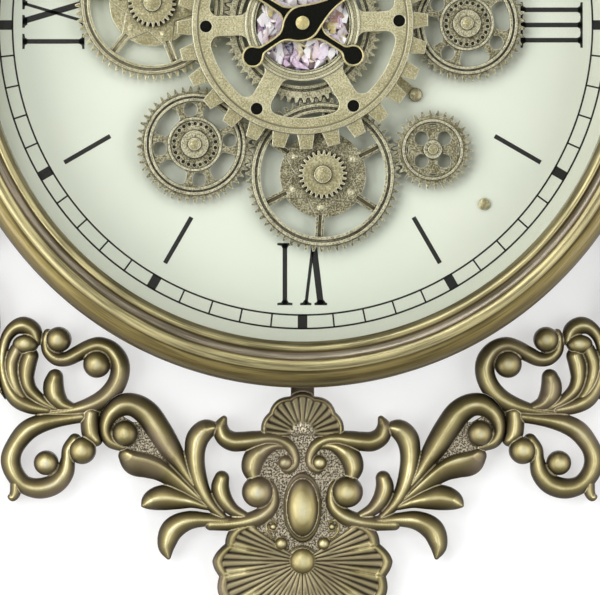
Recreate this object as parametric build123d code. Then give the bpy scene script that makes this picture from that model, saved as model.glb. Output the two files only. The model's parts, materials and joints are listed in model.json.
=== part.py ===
from build123d import *
from math import acos, atan2, cos, degrees, hypot, pi, radians, sin, tan
import os

# A round wall clock with a turning train of show gears before its dial, in a cast scroll frame.
# Millimetres. X runs to the viewer's right, Z up, and the front faces -Y. The origin is on the
# clock's axis at the wall. A "depth" is a distance off the wall, so it is -Y.

# Depths, from the wall forwards
cover_thickness = 2.0
flange_thickness = 2.0
movement_clearance = 2.5
movement_depth = 18.0
dial_thickness = 2.5
gear_gap = 3.0
gear_thickness = 3.0
pinion_thickness = 2.5
gear_play = 0.2
main_gear_gap = 0.5
main_gear_thickness = 3.0
ridge_height = 0.6
hand_gap = 2.0
hand_thickness = 1.0
hand_spacing = 1.2
hand_cap_height = 2.0
lens_gap = 2.3
lens_thickness = 2.5
gasket_thickness = 0.5

movement_back = cover_thickness + movement_clearance
dial_back = movement_back + movement_depth
dial_front = dial_back + dial_thickness
gear_back = dial_front + gear_gap
gear_front = gear_back + gear_thickness
pinion_front = gear_front + pinion_thickness
main_back = pinion_front + main_gear_gap
main_front = main_back + main_gear_thickness
hour_back = main_front + hand_gap
minute_back = hour_back + hand_thickness + hand_spacing
cap_back = minute_back + hand_thickness
cap_front = cap_back + hand_cap_height
lens_back = cap_front + lens_gap
lens_front = lens_back + lens_thickness
lip_back = lens_front + gasket_thickness

# Case, bezel, dial and glass
bezel_radius = 181.0
bezel_wall = 2.0
bezel_rear = 5.0
lip_radius = 158.0
lip_wall = 2.0
inner_bead_width = 3.0
cove_width = 4.0
torus_width = 5.5
shoulder_drop = 4.0
bezel_rise = 8.0
band_gap = 5.0
band_wall = 3.0
flange_width = 24.0
ledge_width = 11.0
ledge_thickness = 3.0
spacer_wall = 2.5
spacer_foot = 2.0
fit_gap = 0.5
lens_overlap = 7.0
cover_lap = 6.0
cover_screw_count = 6

band_outer = bezel_radius - bezel_wall - band_gap
band_inner = band_outer - band_wall
flange_inner = band_outer - flange_width
cover_radius = flange_inner + cover_lap
dial_radius = band_inner - fit_gap
lens_radius = lip_radius + lens_overlap
spacer_inner = lip_radius + fit_gap

# Show gears: the wheels before the dial
gear_module = 1.25
addendum = 0.9
dedendum = 1.1
pressure_angle = 20.0
backlash = 0.25
centre_teeth = 61
large_teeth = 60
middle_teeth = 45
small_teeth = 30
web_drop = 0.8
disc_drop = 1.2
post_radius = 2.0
post_flange_radius = 4.5
running_clearance = 0.05
centre_turn = 0.0

large_rim_width = 5.0
large_ridge_width = 1.4
large_disc_radius = 21.5
large_hub_radius = 14.2
large_spoke_count = 6
large_spoke_width = 4.3
large_groove_width = 1.8
large_rivet_radius = 1.9
large_rivet_circle = 16.4
pinion_teeth = 26
pinion_tip_radius = 12.0
pinion_tooth_height = 2.0
large_cap_radius = 4.3

middle_rim_width = 5.4
middle_ridge_width = 1.2
middle_ridge_inset = 0.3
middle_window_inner = 13.7
middle_ring_width = 1.0
middle_round_radius = 3.5
middle_oval_span = 46.0
middle_window_count = 4
middle_dimple_count = 22
middle_dimple_radius = 0.95
middle_dimple_circle = 10.4
middle_hub_radius = 6.8
middle_cap_radius = 3.2

small_rim_width = 3.4
small_window_radius = 3.5
small_window_circle = 8.0
small_hub_radius = 4.5
small_cap_radius = 2.4
hub_rise = 1.2

# Centre wheel: the large open gear, its drive gear and the tray of crystal chips
main_teeth = 28
main_tip_radius = 62.5
main_tooth_height = 7.5
main_tooth_root_width = 8.6
main_tooth_tip_width = 6.0
main_rim_width = 8.0
main_ridge_width = 2.4
main_ring_inner = 24.5
main_ring_width = 4.0
main_spoke_count = 6
main_spoke_width = 9.8
main_spoke_turn = 1.7
main_window_fillet = 4.5
main_hole_radius = 3.0
main_hole_circle = 48.1
plug_sink = 0.6
tray_floor = 1.2
tray_wall = 1.0
tray_fit = 0.1
tray_flange_width = 3.8
tray_rim_drop = 0.2
bed_inner = 8.0
bed_drop = 0.8
drive_rim_width = 6.0
drive_hub_radius = 12.0
drive_spoke_width = 6.0

# Hands and their shafts
minute_angle = 56.0
hour_angle = 302.4
minute_length = 128.0
hour_length = 88.0
minute_leaf_width = 13.0
hour_leaf_width = 14.0
minute_stem_width = 5.3
hour_stem_width = 3.0
minute_hub_radius = 8.5
hour_hub_radius = 7.0
tail_length = 30.0
tail_width = 2.4
tail_disc_radius = 5.0
arbor_radius = 1.25
pipe_wall = 1.1
tube_wall = 2.05
tube_flange_radius = 7.0
tube_flange_thickness = 1.5
tube_lead = 1.0
nut_flats = 14.0
nut_thickness = 2.5
clip_width = 2.0
clip_thickness = 0.8
cap_radius = 3.35

# Quartz movement behind the dial, with the wheels that gear the hour hand down
box_width = 56.0
box_height = 56.0
box_wall = 1.5
cannon_teeth = 12
minute_wheel_teeth = 36
minute_pinion_teeth = 10
hour_wheel_teeth = 40
motion_distance = 10.0
motion_angle = 45.0
motion_backlash = 0.14
motion_thickness = 2.0
motion_gap = 1.0
motion_back = 2.0
setting_shaft_radius = 1.0
setting_boss_wall = 1.2
knob_radius = 4.5
knob_thickness = 3.0
knob_gap = 0.4
knob_hole_margin = 2.0
knob_flute_count = 12
cell_radius = 7.0
cell_length = 50.5
cell_clearance = 0.1
cell_button_radius = 2.75
cell_button_length = 1.0
cell_edge = 1.4
coil_radius = 3.5
coil_length = 14.0
coil_cheek = 1.0
board_width = 20.0
board_height = 10.0
board_thickness = 1.0

# Gear motor behind the dial, held by two screws through it
motor_screw_a = (56.5, -34.9)
motor_screw_b = (90.75, -89.5)
motor_height = 40.0
motor_ear_radius = 4.0
motor_ear_thickness = 4.0
motor_can_radius = 5.0
motor_can_length = 16.0
screw_radius = 1.5
screw_head_radius = 3.0
screw_head_height = 1.8
screw_grip = 6.0
strap_length = 15.0
strap_angle = 141.0
strap_width = 5.0
strap_thickness = 1.5

# Keyhole hanger
hanger_margin = 8.0
hanger_width = 36.0
hanger_length = 44.0
hanger_thickness = 1.5
hanger_lap = 6.0
keyhole_radius = 5.0
keyhole_slot = 4.5
keyhole_rise = 14.0
rivet_radius = 1.5

hanger_height = flange_inner - hanger_margin - hanger_length / 2

# Scroll frame, drawn for a bezel of this radius and scaled with the real one
drawn_radius = 181.0
casting_base = 6.0
casting_crest = 3.5
crest_share = 0.5
ball_rise = 0.75
shell_drop = 1.5
stroke_steps = 2
cap_steps = 4
bracket_thickness = 1.6
bracket_width = 12.0
bracket_seat = 12.0
bracket_reach = 22.0
branch_seam = (97.0, 203.0)
branch_strap_length = 24.0
side_seam = (150.5, 166.0)
side_strap_length = 18.0
seam_strap_width = 7.0
seam_screw_inset = 4.0
frame_screw_radius = 1.4
frame_screw_head = 2.4
frame_screw_sink = 0.8
frame_screw_grip = 4.0

frame_scale = bezel_radius / drawn_radius


# Drawing helpers

def front(depth):
    """Sketch plane at a depth off the wall, seen as the viewer sees the clock."""
    return Plane(origin=(0, -depth, 0), x_dir=(1, 0, 0), z_dir=(0, -1, 0))


def raised(sketch, back, thickness):
    """A sketch of the clock's face, standing from one depth towards the viewer."""
    return extrude(front(back) * sketch, amount=thickness)


def ring(outer, inner):
    return Circle(outer) - Circle(inner)


def washer(outer, inner, back, thickness):
    return raised(ring(outer, inner), back, thickness)


def disc(radius, back, thickness, x=0.0, z=0.0):
    return raised(Pos(x, z) * Circle(radius), back, thickness)


def polygon(points):
    return make_face(Polyline(*points, close=True).edges())


def polar(radius, angle):
    """Point at an angle in degrees, counted from +X towards +Z."""
    return radius * cos(radians(angle)), radius * sin(radians(angle))


def spun(sketch, count, turn=0.0):
    """Copies of a sketch, evenly spaced about the origin."""
    return [Rot(0, 0, turn + 360 * i / count) * sketch for i in range(count)]


def bar(start, end, width):
    """Straight bar along +X from one radius to another."""
    return Pos((start + end) / 2, 0) * Rectangle(end - start, width)


def turned(edges):
    """Solid of revolution about the clock's axis, from edges drawn as (radius, depth)."""
    section = Plane(origin=(0, 0, 0), x_dir=(1, 0, 0), z_dir=(0, 0, -1))
    return revolve(section * make_face(edges), axis=Axis.Y)


def dome(radius, rise, back, x, z):
    """Spherical cap on a flat, rising towards the viewer."""
    profile = make_face([
        Line((0, 0), (radius, 0)),
        ThreePointArc((radius, 0), dome_shoulder(radius, rise), (0, rise)),
        Line((0, rise), (0, 0)),
    ])
    section = Plane(origin=(0, 0, 0), x_dir=(1, 0, 0), z_dir=(0, 0, -1))
    return Pos(x, -back, z) * revolve(section * profile, axis=Axis.Y)


def dome_shoulder(radius, rise):
    """Point halfway round a spherical cap's profile."""
    sphere = (radius ** 2 + rise ** 2) / (2 * rise)
    half = atan2(radius, sphere - rise) / 2
    return sphere * sin(half), rise - sphere * (1 - cos(half))


def group(solids):
    """Separate solids kept together as one piece's node."""
    return Compound(children=[s for solid in solids for s in solid.solids()])


# Gear teeth

def involute(angle):
    return tan(angle) - angle


def tooth_half_angle(radius, teeth, module, slack):
    """Half the angle that a tooth fills at a radius."""
    pitch = module * teeth / 2
    base = pitch * cos(radians(pressure_angle))
    half = (pi * module / 2 - slack) / (2 * pitch)
    return half + involute(radians(pressure_angle)) - involute(acos(min(1, base / radius)))


def pitch_radius(teeth, module=gear_module):
    return module * teeth / 2


def tip_radius(teeth, module=gear_module):
    return pitch_radius(teeth, module) + addendum * module


def root_radius(teeth, module=gear_module):
    return pitch_radius(teeth, module) - dedendum * module


def toothed(count, root, tip, root_half, tip_half, turn):
    """Gear outline with straight flanks, one tooth's middle at `turn` degrees."""
    points = []
    for i in range(count):
        middle = turn + 360 * i / count
        points.append(polar(root, middle - root_half))
        points.append(polar(tip, middle - tip_half))
        points.append(polar(tip, middle + tip_half))
        points.append(polar(root, middle + root_half))
    return polygon(points)


def spur(teeth, turn, module=gear_module, slack=backlash):
    root = root_radius(teeth, module)
    tip = tip_radius(teeth, module)
    root_half = degrees(tooth_half_angle(root, teeth, module, slack))
    tip_half = degrees(tooth_half_angle(tip, teeth, module, slack))
    return toothed(teeth, root, tip, root_half, tip_half, turn)


def meshing_turn(teeth, turn, heading, mate_teeth):
    """Turn that puts a mate's gap on a gear's tooth, along the line between their centres."""
    return heading + 180 + (180 - teeth * (turn - heading)) / mate_teeth


class Wheel:
    """A show gear's place, tooth count, tooth phase and the turn of its spokes or windows."""

    def __init__(self, teeth, x=0.0, z=0.0, turn=centre_turn, pattern=0.0):
        self.teeth, self.x, self.z, self.turn, self.pattern = teeth, x, z, turn, pattern

    def mate(self, teeth, heading, pattern):
        distance = pitch_radius(self.teeth) + pitch_radius(teeth)
        dx, dz = polar(distance, heading)
        turn = meshing_turn(self.teeth, self.turn, heading, teeth)
        return Wheel(teeth, self.x + dx, self.z + dz, turn, pattern)

    def place(self, part):
        return Pos(self.x, 0, self.z) * part


centre = Wheel(centre_teeth)
bottom = centre.mate(large_teeth, heading=277.7, pattern=266.6)
left = centre.mate(large_teeth, heading=171.9, pattern=51.0)
top = centre.mate(large_teeth, heading=49.3, pattern=40.0)
lower_left = bottom.mate(middle_teeth, heading=166.7, pattern=7.0)
upper_left = left.mate(middle_teeth, heading=62.5, pattern=33.0)
right = top.mate(middle_teeth, heading=299.9, pattern=57.0)
lower_right = bottom.mate(small_teeth, heading=12.8, pattern=45.0)
upper = top.mate(small_teeth, heading=147.0, pattern=20.0)
wheels = {
    "bottom_gear": bottom, "left_gear": left, "top_gear": top,
    "lower_left_gear": lower_left, "upper_left_gear": upper_left, "right_gear": right,
    "lower_right_gear": lower_right, "upper_gear": upper,
}
large_names = ["bottom_gear", "left_gear", "top_gear"]
middle_names = ["lower_left_gear", "upper_left_gear", "right_gear"]
post_names = [name for name in wheels if name != "lower_right_gear"]

bore_radius = post_radius + running_clearance
web_front = gear_front - web_drop
disc_front = gear_front - disc_drop
hub_front = gear_front + hub_rise


def large_gear(wheel):
    """Six-spoked wheel: rim, grooved spokes that flare over a hub disc, and rivets."""
    rim_inner = root_radius(wheel.teeth) - large_rim_width
    outline = spur(wheel.teeth, wheel.turn)
    rim = outline - Circle(rim_inner)
    spoke = bar(0, rim_inner + large_rim_width / 2, large_spoke_width)
    flare = polygon([
        polar(large_hub_radius, -180 / large_spoke_count),
        (large_disc_radius, -large_spoke_width / 2),
        (large_disc_radius, large_spoke_width / 2),
        polar(large_hub_radius, 180 / large_spoke_count),
        (0, 0),
    ])
    star = Sketch() + spun(spoke + flare, large_spoke_count, wheel.pattern)
    hole = Circle(bore_radius)
    body = raised(rim + star - hole, gear_back, web_front - gear_back)
    body += raised(Circle(large_disc_radius) - hole, gear_back, disc_front - gear_back)
    body += washer(rim_inner + large_ridge_width, rim_inner, web_front, web_drop)
    outer_ridge = root_radius(wheel.teeth) - large_ridge_width / 2
    body += washer(outer_ridge, outer_ridge - large_ridge_width, web_front, web_drop)
    body += washer(pinion_tip_radius - pinion_tooth_height, bore_radius, web_front, web_drop)
    groove = bar(large_rivet_circle + 2 * large_rivet_radius, rim_inner, large_groove_width)
    groove_depth = (web_front - gear_back) / 4
    for cut in spun(groove, large_spoke_count, wheel.pattern):
        body -= raised(cut, web_front - groove_depth, groove_depth)
    for i in range(large_spoke_count):
        x, z = polar(large_rivet_circle, wheel.pattern + 360 * i / large_spoke_count)
        body += dome(large_rivet_radius, web_drop, web_front, x, z)
    return wheel.place(body)


def large_pinion(wheel):
    """Small toothed wheel on the front of a large one."""
    root = pinion_tip_radius - pinion_tooth_height
    pitch_angle = 360 / pinion_teeth
    outline = toothed(pinion_teeth, root, pinion_tip_radius, 0.32 * pitch_angle,
                      0.16 * pitch_angle, wheel.pattern)
    return wheel.place(raised(outline - Circle(bore_radius), gear_front, pinion_thickness))


def middle_gear(wheel):
    """Wheel with round and long windows by turns, ridges, a dimpled band and a hub."""
    rim_inner = root_radius(wheel.teeth) - middle_rim_width
    middle = (rim_inner + middle_window_inner) / 2
    half_span = middle_oval_span / 2
    sector = polygon([
        (0, 0), polar(2 * rim_inner, -half_span), polar(2 * rim_inner, half_span),
    ])
    oval = ring(rim_inner, middle_window_inner) & sector
    oval = fillet(oval.vertices(), (rim_inner - middle_window_inner) / 3)
    hole = Pos(middle, 0) * Circle(middle_round_radius)
    step = 180 / middle_window_count
    web = spur(wheel.teeth, wheel.turn) - Circle(bore_radius)
    web -= spun(hole, middle_window_count, wheel.pattern)
    web -= spun(oval, middle_window_count, wheel.pattern + step)
    body = raised(web, gear_back, web_front - gear_back)
    ridge_inner = rim_inner + middle_ridge_inset
    body += washer(ridge_inner + middle_ridge_width, ridge_inner, web_front, web_drop)
    outer_ridge = ridge_inner + 3 * middle_ridge_width
    body += washer(outer_ridge, outer_ridge - middle_ridge_width, web_front, web_drop)
    ring_outer = middle_window_inner - middle_ridge_inset
    body += washer(ring_outer, ring_outer - middle_ring_width, web_front, web_drop)
    body += washer(middle_hub_radius, bore_radius, web_front, hub_front - web_front)
    for i in range(middle_dimple_count):
        x, z = polar(middle_dimple_circle, wheel.pattern + 360 * i / middle_dimple_count)
        body -= disc(middle_dimple_radius, web_front - web_drop, web_drop, x, z)
    return wheel.place(body)


def small_gear(wheel, bore):
    """Wheel with round windows, thin lens windows by the rim and a raised hub."""
    rim_inner = root_radius(wheel.teeth) - small_rim_width
    lens_bulge = Pos(rim_inner + 0.78 * small_window_circle, 0) * Circle(small_window_circle)
    lens = Circle(rim_inner - 1) & lens_bulge
    hole = Pos(small_window_circle, 0) * Circle(small_window_radius)
    web = spur(wheel.teeth, wheel.turn) - Circle(bore)
    web -= spun(hole, middle_window_count, wheel.pattern)
    web -= spun(lens, middle_window_count, wheel.pattern + 180 / middle_window_count)
    body = raised(web, gear_back, web_front - gear_back)
    body += washer(rim_inner + small_rim_width / 3, rim_inner, web_front, web_drop)
    body += washer(small_hub_radius, bore, web_front, hub_front - web_front)
    return wheel.place(body)


def post_top(name):
    return (pinion_front if name in large_names else hub_front) + gear_play


def gear_post(name):
    """Fixed post through the dial, with a flange that the gear runs on."""
    wheel = wheels[name]
    top = post_top(name)
    post = disc(post_radius, dial_back, top - dial_back)
    post += disc(post_flange_radius, dial_front, gear_gap - gear_play)
    return wheel.place(post)


def post_cap(name):
    """Cap on the end of a post, which keeps its gear on."""
    if name in large_names:
        radius = large_cap_radius
    elif name in middle_names:
        radius = middle_cap_radius
    else:
        radius = small_cap_radius
    top = post_top(name)
    cap = disc(radius, top, hub_rise)
    cap += dome(0.75 * radius, hub_rise / 2, top + hub_rise, 0, 0)
    return wheels[name].place(cap)


# Centre wheel

tube_radius = arbor_radius + pipe_wall + tube_wall + 2 * running_clearance
centre_bore = tube_radius + running_clearance
main_root = main_tip_radius - main_tooth_height
main_rim_inner = main_root - main_rim_width
main_ring_outer = main_ring_inner + main_ring_width
tray_outer = main_ring_inner - tray_fit
tray_front = main_front - tray_rim_drop


def main_gear():
    """Large open gear: stubby teeth, ridged rim, six spokes and a ring round the tray."""
    root_half = degrees(main_tooth_root_width / 2 / main_root)
    tip_half = degrees(main_tooth_tip_width / 2 / main_tip_radius)
    outline = toothed(main_teeth, main_root, main_tip_radius, root_half, tip_half, main_spoke_turn)
    windows = ring(main_rim_inner, main_ring_outer)
    windows -= spun(bar(0, main_root, main_spoke_width), main_spoke_count, main_spoke_turn)
    windows = fillet(windows.vertices(), main_window_fillet)
    hole = Pos(main_hole_circle, 0) * Circle(main_hole_radius)
    web = outline - Circle(main_ring_inner) - windows
    web -= spun(hole, main_spoke_count, main_spoke_turn)
    body = raised(web, main_back, main_gear_thickness)
    body += washer(main_root, main_root - main_ridge_width, main_front, ridge_height)
    body += washer(main_ring_outer, main_ring_outer - main_ring_width / 4, main_front, ridge_height)
    body += washer(main_ring_inner + main_ring_width / 4, main_ring_inner, main_front, ridge_height)
    return body


def spoke_plugs():
    """Black plugs in the holes at the ends of the spokes."""
    plug = Pos(main_hole_circle, 0) * Circle(main_hole_radius)
    plugs = spun(plug, main_spoke_count, main_spoke_turn)
    return group([raised(p, main_back, main_gear_thickness - plug_sink) for p in plugs])


def drive_gear():
    """Fine-toothed gear on the same axis, which turns the rest of the train."""
    rim_inner = root_radius(centre.teeth) - drive_rim_width
    spokes = spun(bar(0, rim_inner + 1, drive_spoke_width), main_spoke_count, main_spoke_turn)
    web = spur(centre.teeth, centre.turn) - Circle(rim_inner)
    web = web + spokes + Circle(drive_hub_radius) - Circle(centre_bore)
    body = raised(web, gear_back, gear_thickness)
    return body - washer(rim_inner + drive_rim_width / 2, rim_inner + drive_rim_width / 4,
                         web_front, web_drop)


def crystal_tray():
    """Round tray on the drive gear. Its flange carries the large gear."""
    tray = washer(tray_outer, centre_bore, gear_front, tray_floor)
    tray += washer(tray_outer, tray_outer - tray_wall, gear_front, tray_front - gear_front)
    flange = main_back - gear_front - tray_floor
    tray += washer(tray_outer + tray_flange_width, tray_outer - tray_wall, main_back - flange, flange)
    return tray


def crystal_bed():
    """Bed of chips in the tray, as one plain ring."""
    back = gear_front + tray_floor
    return washer(tray_outer - tray_wall, bed_inner, back, tray_front - bed_drop - back)


# Hands, shafts and the wheels between them

hour_module = 2 * motion_distance / (minute_pinion_teeth + hour_wheel_teeth)
minute_module = 2 * motion_distance / (cannon_teeth + minute_wheel_teeth)
pipe_inner = arbor_radius + running_clearance
pipe_outer = arbor_radius + pipe_wall
tube_inner = pipe_outer + running_clearance
box_inner_back = movement_back + box_wall
box_inner_front = dial_back - box_wall
cannon_back = box_inner_back + motion_back
hour_wheel_back = cannon_back + motion_thickness + motion_gap
setting_x, setting_z = polar(motion_distance, motion_angle)
cannon_turn = motion_angle
minute_wheel_turn = meshing_turn(cannon_teeth, cannon_turn, motion_angle, minute_wheel_teeth)
hour_wheel_turn = motion_angle
minute_pinion_turn = meshing_turn(hour_wheel_teeth, hour_wheel_turn, motion_angle, minute_pinion_teeth)


def hand(length, leaf_width, stem_width, hub_radius, bore, angle, back):
    """Leaf-shaped hand with a round boss, and a stem and disc for its tail."""
    shoulder = 0.3 * length
    belly = 0.62 * length
    side = [
        Line((0, stem_width / 2), (shoulder, stem_width / 2)),
        ThreePointArc((shoulder, stem_width / 2), (belly, leaf_width / 2), (length, 0)),
    ]
    edges = side + [mirror(e, about=Plane.XZ) for e in side]
    edges.append(Line((0, -stem_width / 2), (0, stem_width / 2)))
    waist = 2.2 * hub_radius
    taper = polygon([(0, 0.94 * hub_radius), (waist, stem_width / 2), (waist, -stem_width / 2),
                     (0, -0.94 * hub_radius)])
    shape = make_face(edges) + Circle(hub_radius) + taper
    shape += bar(-tail_length, 0, tail_width)
    shape += Pos(-tail_length, 0) * Circle(tail_disc_radius)
    shape -= Circle(bore)
    return raised(Rot(0, 0, 90 - angle) * shape, back, hand_thickness)


def minute_arbor():
    """Thin shaft through the whole clock, with the small wheel that drives the motion work."""
    arbor = disc(arbor_radius, movement_back, cap_back + hand_cap_height / 2 - movement_back)
    return arbor + raised(spur(cannon_teeth, cannon_turn, minute_module, motion_backlash),
                          cannon_back, motion_thickness)


def hour_pipe():
    """Tube on the minute arbor, with the hour wheel at its back."""
    pipe = washer(pipe_outer, pipe_inner, hour_wheel_back, hour_back + hand_thickness - hour_wheel_back)
    teeth = spur(hour_wheel_teeth, hour_wheel_turn, hour_module, motion_backlash)
    return pipe + raised(teeth - Circle(pipe_inner), hour_wheel_back, motion_thickness)


def minute_wheel():
    """Wheel and pinion on the setting shaft."""
    front_end = hour_wheel_back + motion_thickness + 3 * motion_gap
    knob_back = movement_back - knob_gap - knob_thickness
    shaft = disc(setting_shaft_radius, knob_back, front_end - knob_back)
    shaft += raised(spur(minute_wheel_teeth, minute_wheel_turn, minute_module, motion_backlash),
                    cannon_back, motion_thickness)
    shaft += raised(spur(minute_pinion_teeth, minute_pinion_turn, hour_module, motion_backlash),
                    cannon_back, motion_thickness + motion_gap + motion_thickness)
    return Pos(setting_x, 0, setting_z) * shaft


def setting_knob():
    """Fluted knob at the back for setting the hands."""
    knob = Circle(knob_radius) - Circle(setting_shaft_radius)
    flute = Pos(knob_radius, 0) * Circle(knob_radius / knob_flute_count)
    knob -= spun(flute, knob_flute_count)
    back = movement_back - knob_gap - knob_thickness
    return Pos(setting_x, 0, setting_z) * raised(knob, back, knob_thickness)


def centre_tube():
    """Fixed tube that clamps the movement to the dial and carries the centre wheel."""
    top = hour_back - tube_lead
    tube = washer(tube_radius, tube_inner, box_inner_front, top - box_inner_front)
    flange_back = box_inner_front - tube_flange_thickness
    return tube + washer(tube_flange_radius, tube_inner, flange_back, tube_flange_thickness)


def centre_nut():
    hexagon = RegularPolygon(nut_flats / 2, 6, major_radius=False)
    return raised(hexagon - Circle(tube_radius), dial_front, nut_thickness)


def centre_clip():
    back = gear_front + tray_floor + gear_play
    return washer(tube_radius + clip_width, tube_radius, back, clip_thickness)


def hand_cap():
    """Small brass nut on the end of the minute arbor."""
    body = disc(cap_radius, cap_back, 0.7 * hand_cap_height)
    body += dome(cap_radius, 0.3 * hand_cap_height, cap_back + 0.7 * hand_cap_height, 0, 0)
    return body - disc(arbor_radius, cap_back, hand_cap_height / 2)


# Quartz movement and gear motor

cell_z = -box_height / 2 + box_wall + cell_radius + cell_edge
cell_depth = box_inner_back + cell_radius + cell_clearance
contact_thickness = (box_width - 2 * box_wall - cell_length) / 2


def rod(radius, length, x, depth, z):
    """Cylinder that lies along X."""
    return Pos(x, -depth, z) * Rot(0, 90, 0) * Cylinder(radius, length)


def box_shell(width, height):
    """Box open at the back, its front wall against the dial."""
    depth = dial_back - box_inner_back
    shell = raised(Rectangle(width, height), box_inner_back, depth)
    inside = Rectangle(width - 2 * box_wall, height - 2 * box_wall)
    return shell - raised(inside, box_inner_back, depth - box_wall)


def cell_opening(height_of_box):
    """Outline of the hole that a cell goes in by, for a box of that height."""
    z = -height_of_box / 2 + box_wall + cell_radius + cell_edge
    return Pos(0, z) * Rectangle(cell_length, 2 * cell_radius)


def movement_case():
    shell = box_shell(box_width, box_height) - disc(tube_radius, box_inner_front, box_wall)
    boss_back = hour_wheel_back + motion_thickness + motion_gap
    shaft_hole = setting_shaft_radius + running_clearance
    boss = washer(shaft_hole + setting_boss_wall, shaft_hole, boss_back, box_inner_front - boss_back)
    return shell + Pos(setting_x, 0, setting_z) * boss


def movement_lid():
    lid = Rectangle(box_width, box_height) - cell_opening(box_height)
    lid -= Circle(arbor_radius + running_clearance)
    lid -= Pos(setting_x, setting_z) * Circle(setting_shaft_radius + running_clearance)
    return raised(lid, movement_back, box_wall)


def circuit_board():
    x = -box_width / 2 + box_wall + board_width / 2
    z = box_height / 2 - box_wall - board_height / 2
    return raised(Pos(x, z) * Rectangle(board_width, board_height),
                  box_inner_front - board_thickness, board_thickness)


def movement_coil():
    """Coil with square cheeks, lying on the circuit board."""
    x = -box_width / 2 + box_wall + board_width / 2
    z = box_height / 2 - box_wall - board_height / 2
    depth = box_inner_front - board_thickness - coil_radius
    coil = rod(coil_radius - coil_cheek, coil_length, x, depth, z)
    for side in (-1, 1):
        cheek = Box(coil_cheek, 2 * coil_radius, 2 * coil_radius)
        coil += Pos(x + side * (coil_length + coil_cheek) / 2, -depth, z) * cheek
    return coil


def cell(z):
    body_length = cell_length - cell_button_length
    body = rod(cell_radius, body_length, -cell_button_length / 2, cell_depth, z)
    return body + rod(cell_button_radius, cell_button_length, body_length / 2, cell_depth, z)


def contacts(z):
    """Spring plates at the two ends of a cell."""
    x = (cell_length + contact_thickness) / 2
    plate = Box(contact_thickness, cell_radius, cell_radius)
    return [Pos(side * x, -cell_depth, z) * plate for side in (-1, 1)]


motor_cell_z = -motor_height / 2 + box_wall + cell_radius + cell_edge
motor_span = hypot(motor_screw_b[0] - motor_screw_a[0], motor_screw_b[1] - motor_screw_a[1])
motor_angle = degrees(atan2(motor_screw_b[1] - motor_screw_a[1], motor_screw_b[0] - motor_screw_a[0]))
motor_x = (motor_screw_a[0] + motor_screw_b[0]) / 2
motor_z = (motor_screw_a[1] + motor_screw_b[1]) / 2
motor_turn = motor_angle + 180


def at_motor(part):
    """Places a part drawn about the motor's own centre."""
    return Pos(motor_x, 0, motor_z) * Rot(0, -motor_turn, 0) * part


def motor_housing():
    """Box for the gear motor and its cell, with an ear at each end for a screw."""
    shell = box_shell(box_width, motor_height)
    for side in (-1, 1):
        ear = Pos(side * motor_span / 2, 0) * Circle(motor_ear_radius)
        lug_length = (motor_span - box_width) / 2
        lug = Pos(side * (box_width + lug_length) / 2, 0) * Rectangle(lug_length, 2 * motor_ear_radius)
        shell += raised(ear + lug, dial_back - motor_ear_thickness, motor_ear_thickness)
        shell -= raised(Pos(side * motor_span / 2, 0) * Circle(screw_radius),
                        dial_back - motor_ear_thickness, motor_ear_thickness)
    shaft = disc(post_radius + running_clearance, box_inner_front, box_wall)
    return at_motor(shell) - lower_right.place(shaft)


def motor_lid():
    lid = at_motor(raised(Rectangle(box_width, motor_height) - cell_opening(motor_height),
                          movement_back, box_wall))
    return lid - lower_right.place(disc(post_radius + running_clearance, movement_back, box_wall))


def motor_can():
    """Small round motor lying on the housing's front wall."""
    x = box_width / 2 - box_wall - motor_can_length / 2
    z = motor_height / 2 - box_wall - motor_can_radius
    can = rod(motor_can_radius, motor_can_length, x, box_inner_front - motor_can_radius, z)
    return at_motor(can)


def motor_shaft():
    """Output shaft of the gear motor, with the drive wheel's cap on its end."""
    shaft = disc(post_radius, movement_back, hub_front - movement_back)
    return lower_right.place(shaft + disc(small_cap_radius, hub_front, hub_rise))


# Strap and screws on the dial

strap_end = tuple(a + b for a, b in zip(motor_screw_a, polar(strap_length, strap_angle)))


def dial_strap():
    """Short strap on the dial, under the large gear, with an eye for a screw at each end."""
    link = Rot(0, 0, strap_angle) * bar(0, strap_length, strap_width)
    shape = Pos(*motor_screw_a) * (link + Circle(1.2 * screw_head_radius))
    shape += Pos(*strap_end) * Circle(strap_width / 2)
    for x, z in (motor_screw_a, strap_end):
        shape -= Pos(x, z) * Circle(screw_radius)
    return raised(shape, dial_front, strap_thickness)


def dial_screw(x, z, seat):
    """Pan-head screw through the dial, its head on a seat."""
    shank = seat - dial_back + screw_grip
    if (x, z) == strap_end:
        shank = seat - dial_back
    screw = disc(screw_radius, seat - shank, shank)
    screw += disc(screw_head_radius, seat, screw_head_height / 2)
    screw += dome(screw_head_radius, screw_head_height / 2, seat + screw_head_height / 2, 0, 0)
    return Pos(x, 0, z) * screw


def dial_screws():
    strapped = dial_front + strap_thickness
    return group([
        dial_screw(*motor_screw_a, strapped),
        dial_screw(*strap_end, strapped),
        dial_screw(*motor_screw_b, dial_front),
    ])


def dial_plate():
    """Painted plate with holes for the centre tube, the posts, the motor shaft and the screws."""
    plate = Circle(dial_radius) - Circle(tube_radius)
    for name in post_names:
        plate -= Pos(wheels[name].x, wheels[name].z) * Circle(post_radius)
    plate -= Pos(lower_right.x, lower_right.z) * Circle(post_radius + running_clearance)
    for x, z in (motor_screw_a, motor_screw_b, strap_end):
        plate -= Pos(x, z) * Circle(screw_radius)
    return raised(plate, dial_back, dial_thickness)


# Case

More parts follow.
